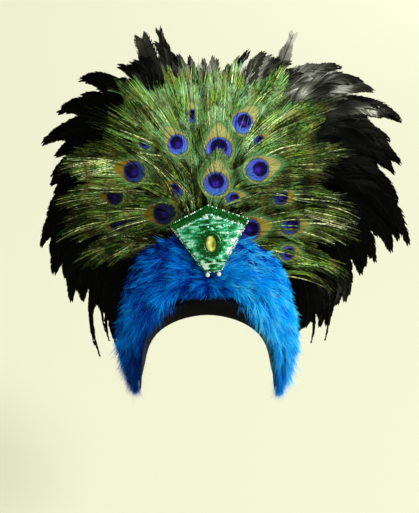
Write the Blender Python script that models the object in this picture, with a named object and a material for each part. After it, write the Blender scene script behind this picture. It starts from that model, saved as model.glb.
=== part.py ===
"""Showgirl feather headdress.

A felt cap with ear flaps carries a curved backing plate. Peacock feathers stand
in layers in front of the plate, sprays of black cock plumes lie between them and
the plate, blue plumage frames the face, and a green kite plaque with an oval
stone covers the quills.

Metres, +Z up. -Y is the front of the headdress and +X is the right of a front view.
The origin is the top of the head hollow, where the cap rests on the crown of the head.
"""

import math
import random

import bmesh
import bpy
from mathutils import Vector

MM = 0.001

# Cap: an ellipsoid crown over straight sides.
HEAD_HALF_WIDTH = 0.077
HEAD_HALF_DEPTH = 0.096
CROWN_RISE = 0.100
FELT = 0.0025
CAP_ROWS = 8

# Rim of the cap. Columns: turn away from the front in degrees, drop below the crown in mm.
RIM = (
    (0, 19.5),
    (12, 19.6),
    (24, 20.0),
    (36, 22.5),
    (45, 26),
    (53, 35),
    (60, 46),
    (66, 64),
    (71, 92),
    (75, 148),
    (85, 150),
    (95, 150),
    (105, 147),
    (111, 134),
    (118, 122),
    (128, 115),
    (141, 112),
    (154, 110),
    (167, 109),
    (180, 108),
)

# Brow band: a black strip that binds the rim over the forehead.
BAND_TURN = 50
BAND_STATIONS = 20
BAND_THICKNESS = 0.0025
BAND_ABOVE_RIM = 0.0055
BAND_BELOW_RIM = 0.0030
PIECE_GAP = 0.0004

# The fan: every feather lies on one bowed surface, in layers from the front to the back.
FAN_BOW = 0.8
FAN_FOCUS_Z = 0.030
FRONT_LAYER_Y = -0.024
LAYER_PITCH = 0.0016

# Peacock feathers: a row each, with the eye's centre and the way that the tip points.
QUILL_HUB_X = 0.008
QUILL_HUB_Z = 0.050
QUILL_START = 0.014
QUILL_HALF_WIDTH = 0.0035
RIB_HALF = 0.0005
SHAFT_STEPS = 5
TIP_STEPS = 6
DROOP_DEG = 2.5
BARB_SWEEP = 0.35
TOOTH_OUT = 1.07
TOOTH_IN = 0.86
PEACOCK_COLUMNS = ("name", "side", "eye_x", "eye_z", "heading", "layer", "reach", "half_width")
PEACOCK = (
    ("peacock_centre_front", 0, 9, 106, 86, 0, 46, 22),
    ("peacock_centre_rear", 0, 12, 140, 90, 3, 96, 30),
    ("peacock_left_brow", -1, -46, 72, 182, 1, 92, 26),
    ("peacock_left_cheek", -1, -96, 57, 186, 4, 76, 27),
    ("peacock_left_wing", -1, -77, 116, 167, 2, 88, 29),
    ("peacock_left_inner", -1, -33, 96, 138, 3, 92, 25),
    ("peacock_left_rise", -1, -31, 145, 122, 4, 96, 28),
    ("peacock_left_outer", -1, -99, 86, 178, 5, 74, 26),
    ("peacock_left_shoulder", -1, -65, 145, 147, 6, 92, 28),
    ("peacock_left_crest", -1, -15, 172, 100, 9, 58, 26),
    ("peacock_left_peak", -1, -30, 179, 105, 10, 54, 25),
    ("peacock_right_brow", 1, 44, 55, 14, 0, 92, 26),
    ("peacock_right_inner", 1, 27, 89, 20, 1, 74, 16),
    ("peacock_right_wing", 1, 53, 119, 17, 2, 98, 29),
    ("peacock_right_cheek", 1, 89, 56, -4, 3, 82, 27),
    ("peacock_right_jaw", 1, 87, 23, -9, 4, 72, 22),
    ("peacock_right_outer", 1, 78, 87, 0, 5, 84, 26),
    ("peacock_right_shoulder", 1, 55, 147, 34, 6, 90, 28),
    ("peacock_right_crest", 1, 37, 165, 49, 8, 72, 27),
    ("herl_left_jaw", -1, -84, 34, 194, 7, 70, 24),
    ("herl_left_side", -1, -100, 118, 164, 8, 66, 28),
    ("herl_left_top", -1, -62, 168, 127, 11, 60, 28),
    ("herl_left_low", -1, -94, 66, 184, 12, 78, 28),
    ("herl_centre_left", 0, -8, 184, 95, 13, 50, 28),
    ("herl_centre_right", 0, 24, 186, 79, 12, 48, 28),
    ("herl_right_top", 1, 56, 178, 60, 11, 58, 28),
    ("herl_right_high", 1, 82, 152, 42, 10, 74, 28),
    ("herl_right_side", 1, 96, 120, 22, 9, 68, 28),
    ("herl_right_low", 1, 100, 74, 5, 7, 72, 26),
)

# Cock plumes, in two layers: each leaves a root bar upwards and falls to its tip.
COCK_HUB_Z = 0.030
COCK_ROOT_RADIUS = 0.036
COCK_BAR_INNER = 0.030
COCK_BAR_SHARE = 0.8
COCK_HALF_THICKNESS = 0.00045
COCK_REAR_Y = 0.0022
COCK_NEAR_Y = 0.0
COCK_ROOT_SHARE = 0.55
COCK_BEND_SHARE = 0.60
COCK_BEND_REACH = 0.96
# The lowest plumes, which lean furthest from upright, hook less.
COCK_LOW_LEAN = 95.0
COCK_LOW_SHARE_PER_DEG = 0.0030
COCK_LOW_REACH_PER_DEG = 0.0035
COCK_NEAR_REACH = 0.94
COCK_ROOM_SHARE = 0.44
COCK_SAMPLES = 40
# Tips of the rear layer about the fan's focus. Columns: polar angle in degrees, reach in mm.
COCK_TIPS = (
    (-52, 178),
    (-42, 184),
    (-30, 182),
    (-18, 184),
    (-7, 232),
    (7, 216),
    (18, 228),
    (29, 246),
    (40, 240),
    (51, 234),
    (61, 209),
    (67.5, 239),
    (77, 212),
    (88, 203),
    (96, 203),
    (103, 237),
    (108, 236),
    (118, 212),
    (130, 221),
    (141, 212),
    (152, 208),
    (163, 182),
    (175, 180),
    (187, 190),
    (198, 184),
    (210, 184),
    (221, 180),
    (234, 194),
)
# Columns: share of the way from root to tip, half width there in mm.
COCK_WIDTHS = (
    (0.00, 1.1),
    (0.15, 2.4),
    (0.30, 4.2),
    (0.45, 6.2),
    (0.60, 8.6),
    (0.75, 10.4),
    (0.89, 9.0),
)
PLUMES_PER_SPRAY = 7

# Backing plate behind the quills, bent to the same bow as the fan.
BASE_RADIUS = 0.062
BASE_FRONT_Y = 0.0042
BASE_THICKNESS = 0.003
BASE_STATIONS = 12

# Blue plumage: a row for each station from the middle of the brow to the tip of a flap.
# Turns are in degrees, the rest in mm; crest is the share of the bulge left near the outer edge.
PLUMAGE_COLUMNS = (
    "rim_turn",
    "rim_drop",
    "back_turn",
    "back_drop",
    "edge_x",
    "edge_y",
    "edge_z",
    "bulge",
    "crest",
)
PLUMAGE = (
    (0, 12.5, 0, 1.0, 0, -39, 48, 8, 0.10),
    (15, 12.8, 30, 4, 19, -39, 50, 9, 0.20),
    (28, 13.8, 50, 9.5, 38, -39, 52, 11, 0.45),
    (42, 17, 66, 24, 58, -35, 39, 12, 0.75),
    (51, 26, 73, 36, 73, -30, 24, 11, 0.75),
    (58, 40, 78, 47, 84, -26, 5, 10, 0.75),
    (63, 52, 82, 58, 89, -22, -15, 9, 0.75),
    (67, 66, 86, 71, 92, -18, -34, 9, 0.75),
    (70, 82, 90, 84, 98, -14, -55, 8, 0.75),
    (73, 97, 95, 96, 100, -10, -76, 8, 0.75),
    (75, 111, 98, 110, 97, -8, -96, 7, 0.75),
    (76, 125, 100, 124, 93, -6, -116, 6, 0.75),
    (78, 139, 100, 137, 87, -5, -135, 4.5, 0.75),
    (80, 148, 98, 147, 83.5, -4, -150, 3, 0.75),
)
PLUMAGE_GAP = 0.0012
# Columns: share of the way from rim to outer edge, share of the bulge there.
PLUMAGE_BELLY = ((0.16, 0.75), (0.46, 1.0))
PLUMAGE_CREST_AT = 0.76
PLUMAGE_INNER_STEPS = 3
LOCK_RISE = 0.0085
LOCK_RIM_SHARE = 0.35
LOCK_LEAN = 0.010
LOCK_TAPER = 0.32
# Behind the plaque only the lowest rows have locks. Columns: station limit, rows of locks.
LOCK_BARE_STATIONS = ((1.6, 1), (3.2, 2))
LOCK_SEED = 7

# Kite plaque: leans back against the quills, and rolls a little to one side.
PLAQUE_CENTRE = (0.0038, -0.0480, 0.0492)
PLAQUE_LEAN = math.atan(0.45)
PLAQUE_ROLL = math.radians(4.3)
PLAQUE_HALF_WIDTH = 0.0425
PLAQUE_TOP = 0.0407
PLAQUE_SHOULDER = 0.0230
PLAQUE_FOOT = -0.0295
PLAQUE_FOOT_HALF = 0.0084
PLAQUE_BACK = -0.0045
PLAQUE_EDGE = -0.0020
PLAQUE_RIDGE_DROP = 0.0095
PLAQUE_RIDGE_RISE = 0.0020
PLAQUE_FACE_RISE = 0.0032
PLAQUE_SEAT = (0.0138, 0.0160)

# The oval patch and its stone, measured along the plaque's own width and height.
PATCH_HALF = (0.0120, 0.0143)
PATCH_HOLE = (0.0062, 0.0095)
PATCH_THICKNESS = 0.0022
PATCH_SIDES = 20
STONE_HALF = (0.0055, 0.0088)
STONE_SIDES = 12
STONE_HEIGHT = 0.0052
STONE_GIRDLE = 0.0018
STONE_TABLE_SHARE = 0.55
BEAD_RADIUS = 0.0023
BEAD_SIDES = 10
BEAD_ROWS = 6
BEAD_SPREAD = 0.0060

# Colours, roughness and metallic value of each finish.
FINISHES = {
    "black_felt": ((0.012, 0.012, 0.014), 0.95, 0.0),
    "black_velvet": ((0.006, 0.006, 0.008), 0.9, 0.0),
    "blue_plumage": ((0.0, 0.16, 0.72), 0.6, 0.0),
    "peacock_herl": ((0.10, 0.19, 0.035), 0.45, 0.0),
    "peacock_herl_dark": ((0.055, 0.095, 0.022), 0.5, 0.0),
    "cock_plume": ((0.010, 0.012, 0.012), 0.35, 0.0),
    "green_lame": ((0.0, 0.22, 0.06), 0.25, 0.6),
    "dark_green_patch": ((0.0, 0.08, 0.02), 0.4, 0.3),
    "olivine_stone": ((0.62, 0.66, 0.16), 0.08, 0.0),
    "pearl_bead": ((0.80, 0.84, 0.78), 0.15, 0.0),
}


def clear_scene():
    """Remove whatever the file opened with."""
    for thing in list(bpy.data.objects):
        bpy.data.objects.remove(thing, do_unlink=True)


def finish_material(name):
    """A Principled material for one of the finishes."""
    made = bpy.data.materials.get(name)
    if made:
        return made
    colour, roughness, metallic = FINISHES[name]
    made = bpy.data.materials.new(name)
    made.use_nodes = True
    shader = made.node_tree.nodes["Principled BSDF"]
    shader.inputs["Base Color"].default_value = (*colour, 1.0)
    shader.inputs["Roughness"].default_value = roughness
    shader.inputs["Metallic"].default_value = metallic
    return made


def add_object(name, bm, finish, smooth_deg=None):
    """Turn the bmesh into an object with outward faces and one material."""
    bmesh.ops.recalc_face_normals(bm, faces=bm.faces)
    mesh = bpy.data.meshes.new(name)
    bm.to_mesh(mesh)
    bm.free()
    mesh.materials.append(finish_material(finish))
    if smooth_deg is not None:
        mesh.shade_smooth()
        mesh.set_sharp_from_angle(angle=math.radians(smooth_deg))
    thing = bpy.data.objects.new(name, mesh)
    bpy.context.scene.collection.objects.link(thing)
    return thing


def ring_of(bm, points):
    """Vertices for one ring of a loft."""
    return [bm.verts.new(point) for point in points]


def bridge(bm, first, second):
    """Faces between two rings; a ring of one vertex is a pole."""
    made = []
    count = max(len(first), len(second))
    for i in range(count):
        j = (i + 1) % count
        if len(first) == 1:
            corners = (first[0], second[j], second[i])
        elif len(second) == 1:
            corners = (first[i], first[j], second[0])
        else:
            corners = (first[i], first[j], second[j], second[i])
        made.append(bm.faces.new(corners))
    return made


def loft(bm, rings):
    """One closed solid through the rings; end rings of more than one point get a flat cap."""
    made = [ring_of(bm, points) for points in rings]
    for first, second in zip(made, made[1:]):
        bridge(bm, first, second)
    for end in (made[0], made[-1]):
        if len(end) > 1:
            bm.faces.new(end)
    return made


def between(a, b, share):
    """The value a share of the way from a to b."""
    return a + (b - a) * share


def read_table(table, at):
    """Read a two-column table by straight lines between its rows."""
    for (x0, y0), (x1, y1) in zip(table, table[1:]):
        if at <= x1:
            return between(y0, y1, (at - x0) / (x1 - x0))
    return table[-1][1]


def direction(degrees):
    """A unit step in the fan's own plane, as x and z."""
    return math.cos(math.radians(degrees)), math.sin(math.radians(degrees))


def on_fan(x, z, depth):
    """The point of the bowed fan surface at x and z, moved back by depth."""
    return Vector((x, depth + FAN_BOW * (x * x + (z - FAN_FOCUS_Z) ** 2), z))


def bezier(start, bend, end, t):
    """A point of a quadratic curve in the fan's plane."""
    u = 1.0 - t
    return tuple(u * u * a + 2 * u * t * b + t * t * c for a, b, c in zip(start, bend, end))


def crown_angle(drop):
    """How far round the crown's curve a drop below its top lies."""
    if drop <= CROWN_RISE:
        return math.acos((CROWN_RISE - drop) / CROWN_RISE)
    return math.pi / 2 + (drop - CROWN_RISE) / CROWN_RISE


def cap_point(turn_deg, angle, out):
    """A point on the head form, grown by out; turn is from the front towards +X."""
    turn = math.radians(turn_deg)
    spread = math.sin(min(angle, math.pi / 2))
    x = (HEAD_HALF_WIDTH + out) * spread * math.sin(turn)
    y = -(HEAD_HALF_DEPTH + out) * spread * math.cos(turn)
    if angle <= math.pi / 2:
        z = (CROWN_RISE + out) * math.cos(angle) - CROWN_RISE
    else:
        z = -CROWN_RISE * (1.0 + angle - math.pi / 2)
    return Vector((x, y, z))


def rim_angle(turn_deg):
    """The rim's place round the crown's curve."""
    return crown_angle(read_table(RIM, abs(turn_deg)) * MM)


def make_cap():
    """Felt crown with ear flaps: an inner and an outer wall joined at the rim."""
    turns = [row[0] for row in RIM]
    turns += [-turn for turn in reversed(turns[1:-1])]
    rings = [[cap_point(0, 0, 0)]]
    for out, rows in ((0.0, range(1, CAP_ROWS + 1)), (FELT, range(CAP_ROWS, 0, -1))):
        for row in rows:
            rings.append([cap_point(turn, rim_angle(turn) * row / CAP_ROWS, out) for turn in turns])
    rings.append([cap_point(0, 0, FELT)])
    bm = bmesh.new()
    loft(bm, rings)
    add_object("cap", bm, "black_felt", smooth_deg=50)


def make_brow_band():
    """Strip that binds the rim over the forehead."""
    inner = FELT + PIECE_GAP
    outer = inner + BAND_THICKNESS
    rings = []
    for i in range(BAND_STATIONS + 1):
        turn = between(-BAND_TURN, BAND_TURN, i / BAND_STATIONS)
        high = rim_angle(turn) - BAND_ABOVE_RIM / CROWN_RISE
        low = rim_angle(turn) + BAND_BELOW_RIM / CROWN_RISE
        corners = ((high, inner), (high, outer), (low, outer), (low, inner))
        rings.append([cap_point(turn, angle, out) for angle, out in corners])
    bm = bmesh.new()
    loft(bm, rings)
    add_object("brow_band", bm, "black_velvet", smooth_deg=50)


def make_fan_base():
    """Plate that carries the quills: round above, cut to the crown of the cap below."""
    rings = []
    for i in range(BASE_STATIONS + 1):
        x = BASE_RADIUS * math.sin(between(-0.46, 0.46, i / BASE_STATIONS) * math.pi)
        top = COCK_HUB_Z + math.sqrt(BASE_RADIUS ** 2 - x * x)
        across = (x / (HEAD_HALF_WIDTH + FELT)) ** 2
        foot = (CROWN_RISE + FELT) * math.sqrt(1.0 - across) - CROWN_RISE + 2 * PIECE_GAP
        heights = (foot, between(foot, top, 0.35), between(foot, top, 0.7), top)
        front = [on_fan(x, z, BASE_FRONT_Y) for z in heights]
        back = [on_fan(x, z, BASE_FRONT_Y + BASE_THICKNESS) for z in reversed(heights)]
        rings.append(front + back)
    bm = bmesh.new()
    loft(bm, rings)
    add_object("fan_base", bm, "black_felt", smooth_deg=40)


def feather_line(row):
    """Stations along a peacock feather: x, z, heading and half width, in metres and degrees."""
    eye = (row["eye_x"] * MM, row["eye_z"] * MM)
    hub = (QUILL_HUB_X * row["side"], QUILL_HUB_Z)
    span = math.dist(hub, eye)
    start = tuple(h + (e - h) / span * QUILL_START for h, e in zip(hub, eye))
    forward = direction(row["heading"])
    lean = 0.5 * math.dist(start, eye)
    bend = tuple(e - f * lean for e, f in zip(eye, forward))
    wide = row["half_width"] * MM
    line = []
    for i in range(SHAFT_STEPS + 1):
        t = i / SHAFT_STEPS
        x, z = bezier(start, bend, eye, t)
        ahead = bezier(start, bend, eye, t + 0.01)
        heading = math.degrees(math.atan2(ahead[1] - z, ahead[0] - x))
        line.append((x, z, heading, between(QUILL_HALF_WIDTH, wide, t ** 0.8)))
    x, z = eye
    heading = row["heading"]
    step = row["reach"] * MM / TIP_STEPS
    for i in range(1, TIP_STEPS + 1):
        heading -= DROOP_DEG * math.cos(math.radians(heading))
        forward = direction(heading)
        x += forward[0] * step
        z += forward[1] * step
        line.append((x, z, heading, wide * (1.0 - (i / TIP_STEPS) ** 2.4)))
    return line


def make_peacock_feather(row):
    """A bowed blade with a raised rib, toothed edges and a pointed fringe."""
    depth = FRONT_LAYER_Y + LAYER_PITCH * row["layer"]
    rib = Vector((0.0, RIB_HALF, 0.0))
    rings = []
    line = feather_line(row)
    for i, (x, z, heading, half) in enumerate(line[:-1]):
        if i:
            half *= TOOTH_OUT if i % 2 else TOOTH_IN
        forward = direction(heading)
        sweep = BARB_SWEEP * half
        left = (x - forward[1] * half + forward[0] * sweep, z + forward[0] * half + forward[1] * sweep)
        right = (x + forward[1] * half + forward[0] * sweep, z - forward[0] * half + forward[1] * sweep)
        middle = on_fan(x, z, depth)
        rings.append([on_fan(*left, depth), middle - rib, on_fan(*right, depth), middle + rib])
    rings.append([on_fan(line[-1][0], line[-1][1], depth)])
    bm = bmesh.new()
    loft(bm, rings)
    finish = "peacock_herl_dark" if row["name"].startswith("herl") else "peacock_herl"
    add_object(row["name"], bm, finish)


def cock_line(angle, reach):
    """Start, bend and end of a plume that leaves upwards and falls to its tip."""
    lean = angle - 90.0
    low = max(0.0, abs(lean) - COCK_LOW_LEAN)
    bend_share = COCK_BEND_SHARE + COCK_LOW_SHARE_PER_DEG * low
    bend_reach = COCK_BEND_REACH - COCK_LOW_REACH_PER_DEG * low
    # Columns: share of the whole lean from upright, distance from the hub.
    stages = (
        (COCK_ROOT_SHARE, COCK_ROOT_RADIUS),
        (bend_share, bend_reach * reach),
        (1.0, reach),
    )
    points = []
    for share, radius in stages:
        step = direction(90.0 + lean * share)
        points.append((step[0] * radius, COCK_HUB_Z + step[1] * radius))
    return points


def ribbon_ring(x, z, heading, half, depth):
    """The four corners of a flat plume at one station, front pair first."""
    forward = direction(heading)
    left = (x - forward[1] * half, z + forward[0] * half)
    right = (x + forward[1] * half, z - forward[0] * half)
    front = depth - COCK_HALF_THICKNESS
    back = depth + COCK_HALF_THICKNESS
    return [on_fan(*left, front), on_fan(*right, front), on_fan(*right, back), on_fan(*left, back)]


def cock_layer(tips):
    """Stations of each plume of a layer: x, z, course and half width, no wider than its neighbours allow."""
    lines = [cock_line(angle, reach * MM) for angle, reach in tips]
    sampled = [[bezier(*line, i / COCK_SAMPLES) for i in range(COCK_SAMPLES + 1)] for line in lines]
    plumes = []
    for i, (start, bend, end) in enumerate(lines):
        beside = [point for k in (i - 1, i + 1) if 0 <= k < len(lines) for point in sampled[k]]
        stations = []
        for along, half in COCK_WIDTHS:
            x, z = bezier(start, bend, end, along)
            ahead = bezier(start, bend, end, along + 0.01)
            course = math.degrees(math.atan2(ahead[1] - z, ahead[0] - x))
            room = min(math.dist((x, z), point) for point in beside)
            stations.append((x, z, course, min(half * MM, COCK_ROOM_SHARE * room)))
        plumes.append((stations, end))
    return plumes


def make_cock_spray(name, plumes, depth):
    """Plumes grown from one root bar, so the spray is a single body."""
    bm = bmesh.new()
    bar = []
    for stations, end in plumes:
        x, z, heading, half = stations[0]
        rings = [ring_of(bm, ribbon_ring(*station, depth)) for station in stations]
        inward = direction(math.degrees(math.atan2(z - COCK_HUB_Z, x)))
        inset = COCK_ROOT_RADIUS - COCK_BAR_INNER
        inner_at = (x - inward[0] * inset, z - inward[1] * inset)
        bar.append((ring_of(bm, ribbon_ring(*inner_at, heading, half * COCK_BAR_SHARE, depth)), rings[0]))
        rings.append([bm.verts.new(on_fan(*end, depth))])
        for first, second in zip(rings, rings[1:]):
            bridge(bm, first, second)
    # Each plume's cell of the bar, then the link to the next plume's cell.
    for i, (inner, outer) in enumerate(bar):
        bm.faces.new((inner[0], inner[1], outer[1], outer[0]))
        bm.faces.new((outer[3], outer[2], inner[2], inner[3]))
        bm.faces.new((inner[3], inner[2], inner[1], inner[0]))
        if i == 0:
            bm.faces.new((inner[1], inner[2], outer[2], outer[1]))
            continue
        # Tips run anticlockwise, so the last plume's left side faces this one's right side.
        old_inner, old_outer = bar[i - 1]
        bm.faces.new((old_inner[0], inner[1], outer[1], old_outer[0]))
        bm.faces.new((old_outer[3], outer[2], inner[2], old_inner[3]))
        bm.faces.new((old_inner[3], inner[2], inner[1], old_inner[0]))
        bm.faces.new((old_outer[0], outer[1], outer[2], old_outer[3]))
    inner, outer = bar[-1]
    bm.faces.new((inner[3], inner[0], outer[0], outer[3]))
    add_object(name, bm, "cock_plume")


def make_cock_sprays():
    """Two layers of plumes; those of the near layer lie over the gaps of the rear one."""
    near = []
    for (angle, reach), (next_angle, next_reach) in zip(COCK_TIPS, COCK_TIPS[1:]):
        middle = between(reach, next_reach, 0.5) * COCK_NEAR_REACH
        near.append((between(angle, next_angle, 0.5), middle))
    for layer, tips, depth in (("near", near, COCK_NEAR_Y), ("rear", COCK_TIPS, COCK_REAR_Y)):
        plumes = cock_layer(tips)
        for number, first in enumerate(range(0, len(plumes), PLUMES_PER_SPRAY), 1):
            make_cock_spray(f"cock_spray_{layer}_{number}", plumes[first:first + PLUMES_PER_SPRAY], depth)


def plumage_row(place):
    """The plumage table read at a place counted in stations, smoothed between rows."""
    last = len(PLUMAGE) - 1
    i = min(int(place), last - 1)
    t = place - i
    rows = [PLUMAGE[min(max(k, 0), last)] for k in (i - 1, i, i + 1, i + 2)]
    values = []
    for a, b, c, d in zip(*rows):
        values.append(b + 0.5 * t * (c - a + t * (2 * a - 5 * b + 4 * c - d + t * (3 * (b - c) + d - a))))
    return dict(zip(PLUMAGE_COLUMNS, values))


def plumage_section(place, side):
    """Closed outline of the plumage at one station: rim, belly, crest, outer edge, back."""
    row = plumage_row(place)
    out = FELT + PLUMAGE_GAP
    rim = cap_point(side * row["rim_turn"], crown_angle(row["rim_drop"] * MM), out)
    edge = Vector((side * row["edge_x"], row["edge_y"], row["edge_z"])) * MM
    chord = edge - rim
    away = (rim + edge) * 0.5 - Vector((0.0, 0.010, -0.060))
    away -= chord * (away.dot(chord) / chord.length_squared)
    away.normalize()
    belly = [(at, row["bulge"] * share * MM) for at, share in PLUMAGE_BELLY]
    belly.append((PLUMAGE_CREST_AT, row["bulge"] * row["crest"] * MM))
    section = [rim] + [rim + chord * at + away * rise for at, rise in belly] + [edge]
    for i in range(PLUMAGE_INNER_STEPS, 0, -1):
        share = i / PLUMAGE_INNER_STEPS
        turn = between(row["rim_turn"], row["back_turn"], share)
        drop = between(row["rim_drop"], row["back_drop"], share)
        section.append(cap_point(side * turn, crown_angle(drop * MM), out))
    return section


def make_plumage():
    """Blue plumage round the face: a hollow-backed roll with locks grown from its front."""
    last = len(PLUMAGE) - 1
    places = [(i / 2, -1) for i in range(2 * last, 0, -1)] + [(i / 2, 1) for i in range(2 * last + 1)]
    bm = bmesh.new()
    rings = [ring_of(bm, plumage_section(place, side)) for place, side in places]
    lock_columns = len(PLUMAGE_BELLY) + 2
    draw = random.Random(LOCK_SEED)
    locks = []
    for k, (first, second) in enumerate(zip(rings, rings[1:])):
        faces = bridge(bm, first, second)
        station = min(places[k][0], places[k + 1][0])
        shown = next((columns for limit, columns in LOCK_BARE_STATIONS if station < limit), lock_columns)
        flow = (second[1].co - first[1].co).normalized()
        side = 1 if places[k + 1][1] > 0 and places[k + 1][0] > 0 else -1
        for column, face in enumerate(faces[:shown]):
            locks.append((face, flow * side, 1.0 if column else LOCK_RIM_SHARE))
    bm.faces.new(rings[0])
    bm.faces.new(rings[-1])
    bmesh.ops.recalc_face_normals(bm, faces=bm.faces)
    for face, flow, share in locks:
        normal = face.normal.copy()
        centre = face.calc_center_median()
        raised = bmesh.ops.extrude_discrete_faces(bm, faces=[face])["faces"][0]
        rise = normal * LOCK_RISE * share * draw.uniform(0.75, 1.15)
        lean = flow * LOCK_LEAN * between(share, 1.0, 0.3) * draw.uniform(0.8, 1.1)
        for corner in raised.verts:
            corner.co = centre + (corner.co - centre) * LOCK_TAPER + rise + lean
    add_object("blue_plumage", bm, "blue_plumage")


def plaque_point(u, w, n):
    """A point in the plaque's own frame: u across, w up its face, n out of its face."""
    across = u * math.cos(PLAQUE_ROLL) - w * math.sin(PLAQUE_ROLL)
    up = u * math.sin(PLAQUE_ROLL) + w * math.cos(PLAQUE_ROLL)
    y = up * math.sin(PLAQUE_LEAN) - n * math.cos(PLAQUE_LEAN)
    z = up * math.cos(PLAQUE_LEAN) + n * math.sin(PLAQUE_LEAN)
    return Vector(PLAQUE_CENTRE) + Vector((across, y, z))


def kite_outline(inset, top):
    """Half of the kite from its top to its foot, then mirrored; inset pulls the corners in."""
    wide = PLAQUE_HALF_WIDTH - 1.6 * inset
    foot = (PLAQUE_FOOT_HALF - 0.4 * inset, PLAQUE_FOOT + inset)
    shoulder = (wide, PLAQUE_SHOULDER - 0.25 * inset)
    half = [
        (wide * 0.5, between(top, shoulder[1], 0.46)),
        shoulder,
        (between(shoulder[0], foot[0], 0.34), between(shoulder[1], foot[1], 0.34)),
        (between(shoulder[0], foot[0], 0.68), between(shoulder[1], foot[1], 0.68)),
        foot,
    ]
    return [(0.0, top)] + half + [(-u, w) for u, w in reversed(half)]


def make_kite_plaque():
    """Padded kite with a folded top edge, a ridge below it and a level seat for the patch."""
    outline = kite_outline(0.0, PLAQUE_TOP)
    ridge = kite_outline(0.0022, PLAQUE_TOP - PLAQUE_RIDGE_DROP)
    seat = []
    for u, w in ridge:
        angle = math.atan2(w / PLAQUE_SEAT[1], u / PLAQUE_SEAT[0])
        seat.append((PLAQUE_SEAT[0] * math.cos(angle), PLAQUE_SEAT[1] * math.sin(angle)))
    levels = (
        (outline, PLAQUE_BACK),
        (outline, PLAQUE_EDGE),
        (ridge, PLAQUE_RIDGE_RISE),
        (seat, PLAQUE_FACE_RISE),
    )
    rings = [[plaque_point(0.0, 0.0, PLAQUE_BACK)]]
    for points, rise in levels:
        rings.append([plaque_point(u, w, rise) for u, w in points])
    rings.append([plaque_point(0.0, 0.0, PLAQUE_FACE_RISE)])
    bm = bmesh.new()
    loft(bm, rings)
    add_object("kite_plaque", bm, "green_lame")


def oval(half, sides, rise):
    """A ring of points on an oval in the plaque's frame."""
    turns = [2 * math.pi * i / sides for i in range(sides)]
    return [plaque_point(half[0] * math.cos(a), half[1] * math.sin(a), rise) for a in turns]


def make_stone_patch():
    """Oval patch with an opening, on the seat of the plaque."""
    low = PLAQUE_FACE_RISE + PIECE_GAP
    high = low + PATCH_THICKNESS
    bm = bmesh.new()
    corners = ((PATCH_HOLE, low), (PATCH_HALF, low), (PATCH_HALF, high), (PATCH_HOLE, high))
    made = [ring_of(bm, oval(half, PATCH_SIDES, rise)) for half, rise in corners]
    for first, second in zip(made, made[1:] + made[:1]):
        bridge(bm, first, second)
    add_object("stone_patch", bm, "dark_green_patch")


def make_oval_stone():
    """Cut oval stone: a flat back, a girdle, a ring of crown facets and a table."""
    low = PLAQUE_FACE_RISE + PIECE_GAP
    table = tuple(side * STONE_TABLE_SHARE for side in STONE_HALF)
    rings = [oval(tuple(side * 0.94 for side in STONE_HALF), STONE_SIDES, low)]
    rings.append(oval(STONE_HALF, STONE_SIDES, low + STONE_GIRDLE))
    rings.append(oval(table, STONE_SIDES, low + STONE_HEIGHT))
    bm = bmesh.new()
    loft(bm, rings)
    add_object("oval_stone", bm, "olivine_stone")


def make_end_beads():
    """Two round beads under the blunt foot of the plaque."""
    for name, side in (("end_bead_left", -1), ("end_bead_right", 1)):
        centre = plaque_point(side * BEAD_SPREAD, PLAQUE_FOOT - BEAD_RADIUS - PIECE_GAP, PLAQUE_EDGE)
        bm = bmesh.new()
        bmesh.ops.create_uvsphere(bm, u_segments=BEAD_SIDES, v_segments=BEAD_ROWS, radius=BEAD_RADIUS)
        bmesh.ops.translate(bm, verts=bm.verts, vec=centre)
        add_object(name, bm, "pearl_bead", smooth_deg=60)


def main():
    clear_scene()
    make_cap()
    make_brow_band()
    make_fan_base()
    make_cock_sprays()
    for values in PEACOCK:
        make_peacock_feather(dict(zip(PEACOCK_COLUMNS, values)))
    make_plumage()
    make_kite_plaque()
    make_stone_patch()
    make_oval_stone()
    make_end_beads()


main()
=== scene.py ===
"""Looks of the showgirl feather headdress, laid out as an add-on.

Metres, +Z up, -Y is the front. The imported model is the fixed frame. Feathers, plumes and
plumage are sheaves of flat strands that follow the same lines as the solids they stand for.
"""

import math
from collections import namedtuple

import bpy
import numpy as np
from bpy.props import FloatProperty, FloatVectorProperty, IntProperty, PointerProperty
from mathutils import Matrix, Vector
from mathutils.bvhtree import BVHTree


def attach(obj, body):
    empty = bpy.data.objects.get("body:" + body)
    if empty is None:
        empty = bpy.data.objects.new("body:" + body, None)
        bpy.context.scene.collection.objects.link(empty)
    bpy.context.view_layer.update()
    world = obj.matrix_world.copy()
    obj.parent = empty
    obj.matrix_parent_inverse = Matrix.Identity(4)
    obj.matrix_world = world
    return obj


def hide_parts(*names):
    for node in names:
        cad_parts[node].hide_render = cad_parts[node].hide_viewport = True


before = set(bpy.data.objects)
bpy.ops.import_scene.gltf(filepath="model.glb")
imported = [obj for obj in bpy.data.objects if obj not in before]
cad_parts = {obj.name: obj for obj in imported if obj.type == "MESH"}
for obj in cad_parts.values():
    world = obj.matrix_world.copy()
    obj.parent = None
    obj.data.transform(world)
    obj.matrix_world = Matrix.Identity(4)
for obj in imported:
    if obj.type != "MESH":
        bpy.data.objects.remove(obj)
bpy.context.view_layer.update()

bl_info = {
    "name": "Feather headdress",
    "version": (1, 0, 0),
    "blender": (4, 5, 0),
    "location": "View3D > Sidebar > Headdress",
    "description": "Dresses the packed headdress with feathers, plumage, lame and a stone",
    "category": "Object",
}

# Seeds of the random draws.
FEATHER_SEED = 100
NEAR_SEED = 500
REAR_SEED = 510
PLUMAGE_SEEDS = ((-1.0, 71), (1.0, 72))
PLAQUE_SEED = 31
PATCH_SEED = 41

MM = 0.001
CM_PER_M = 100.0
# Doubles of a CAD node's copy lie closer than this.
MERGE_WITHIN = 0.02 * MM
SMOOTH_ANGLE = math.radians(40.0)

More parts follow.
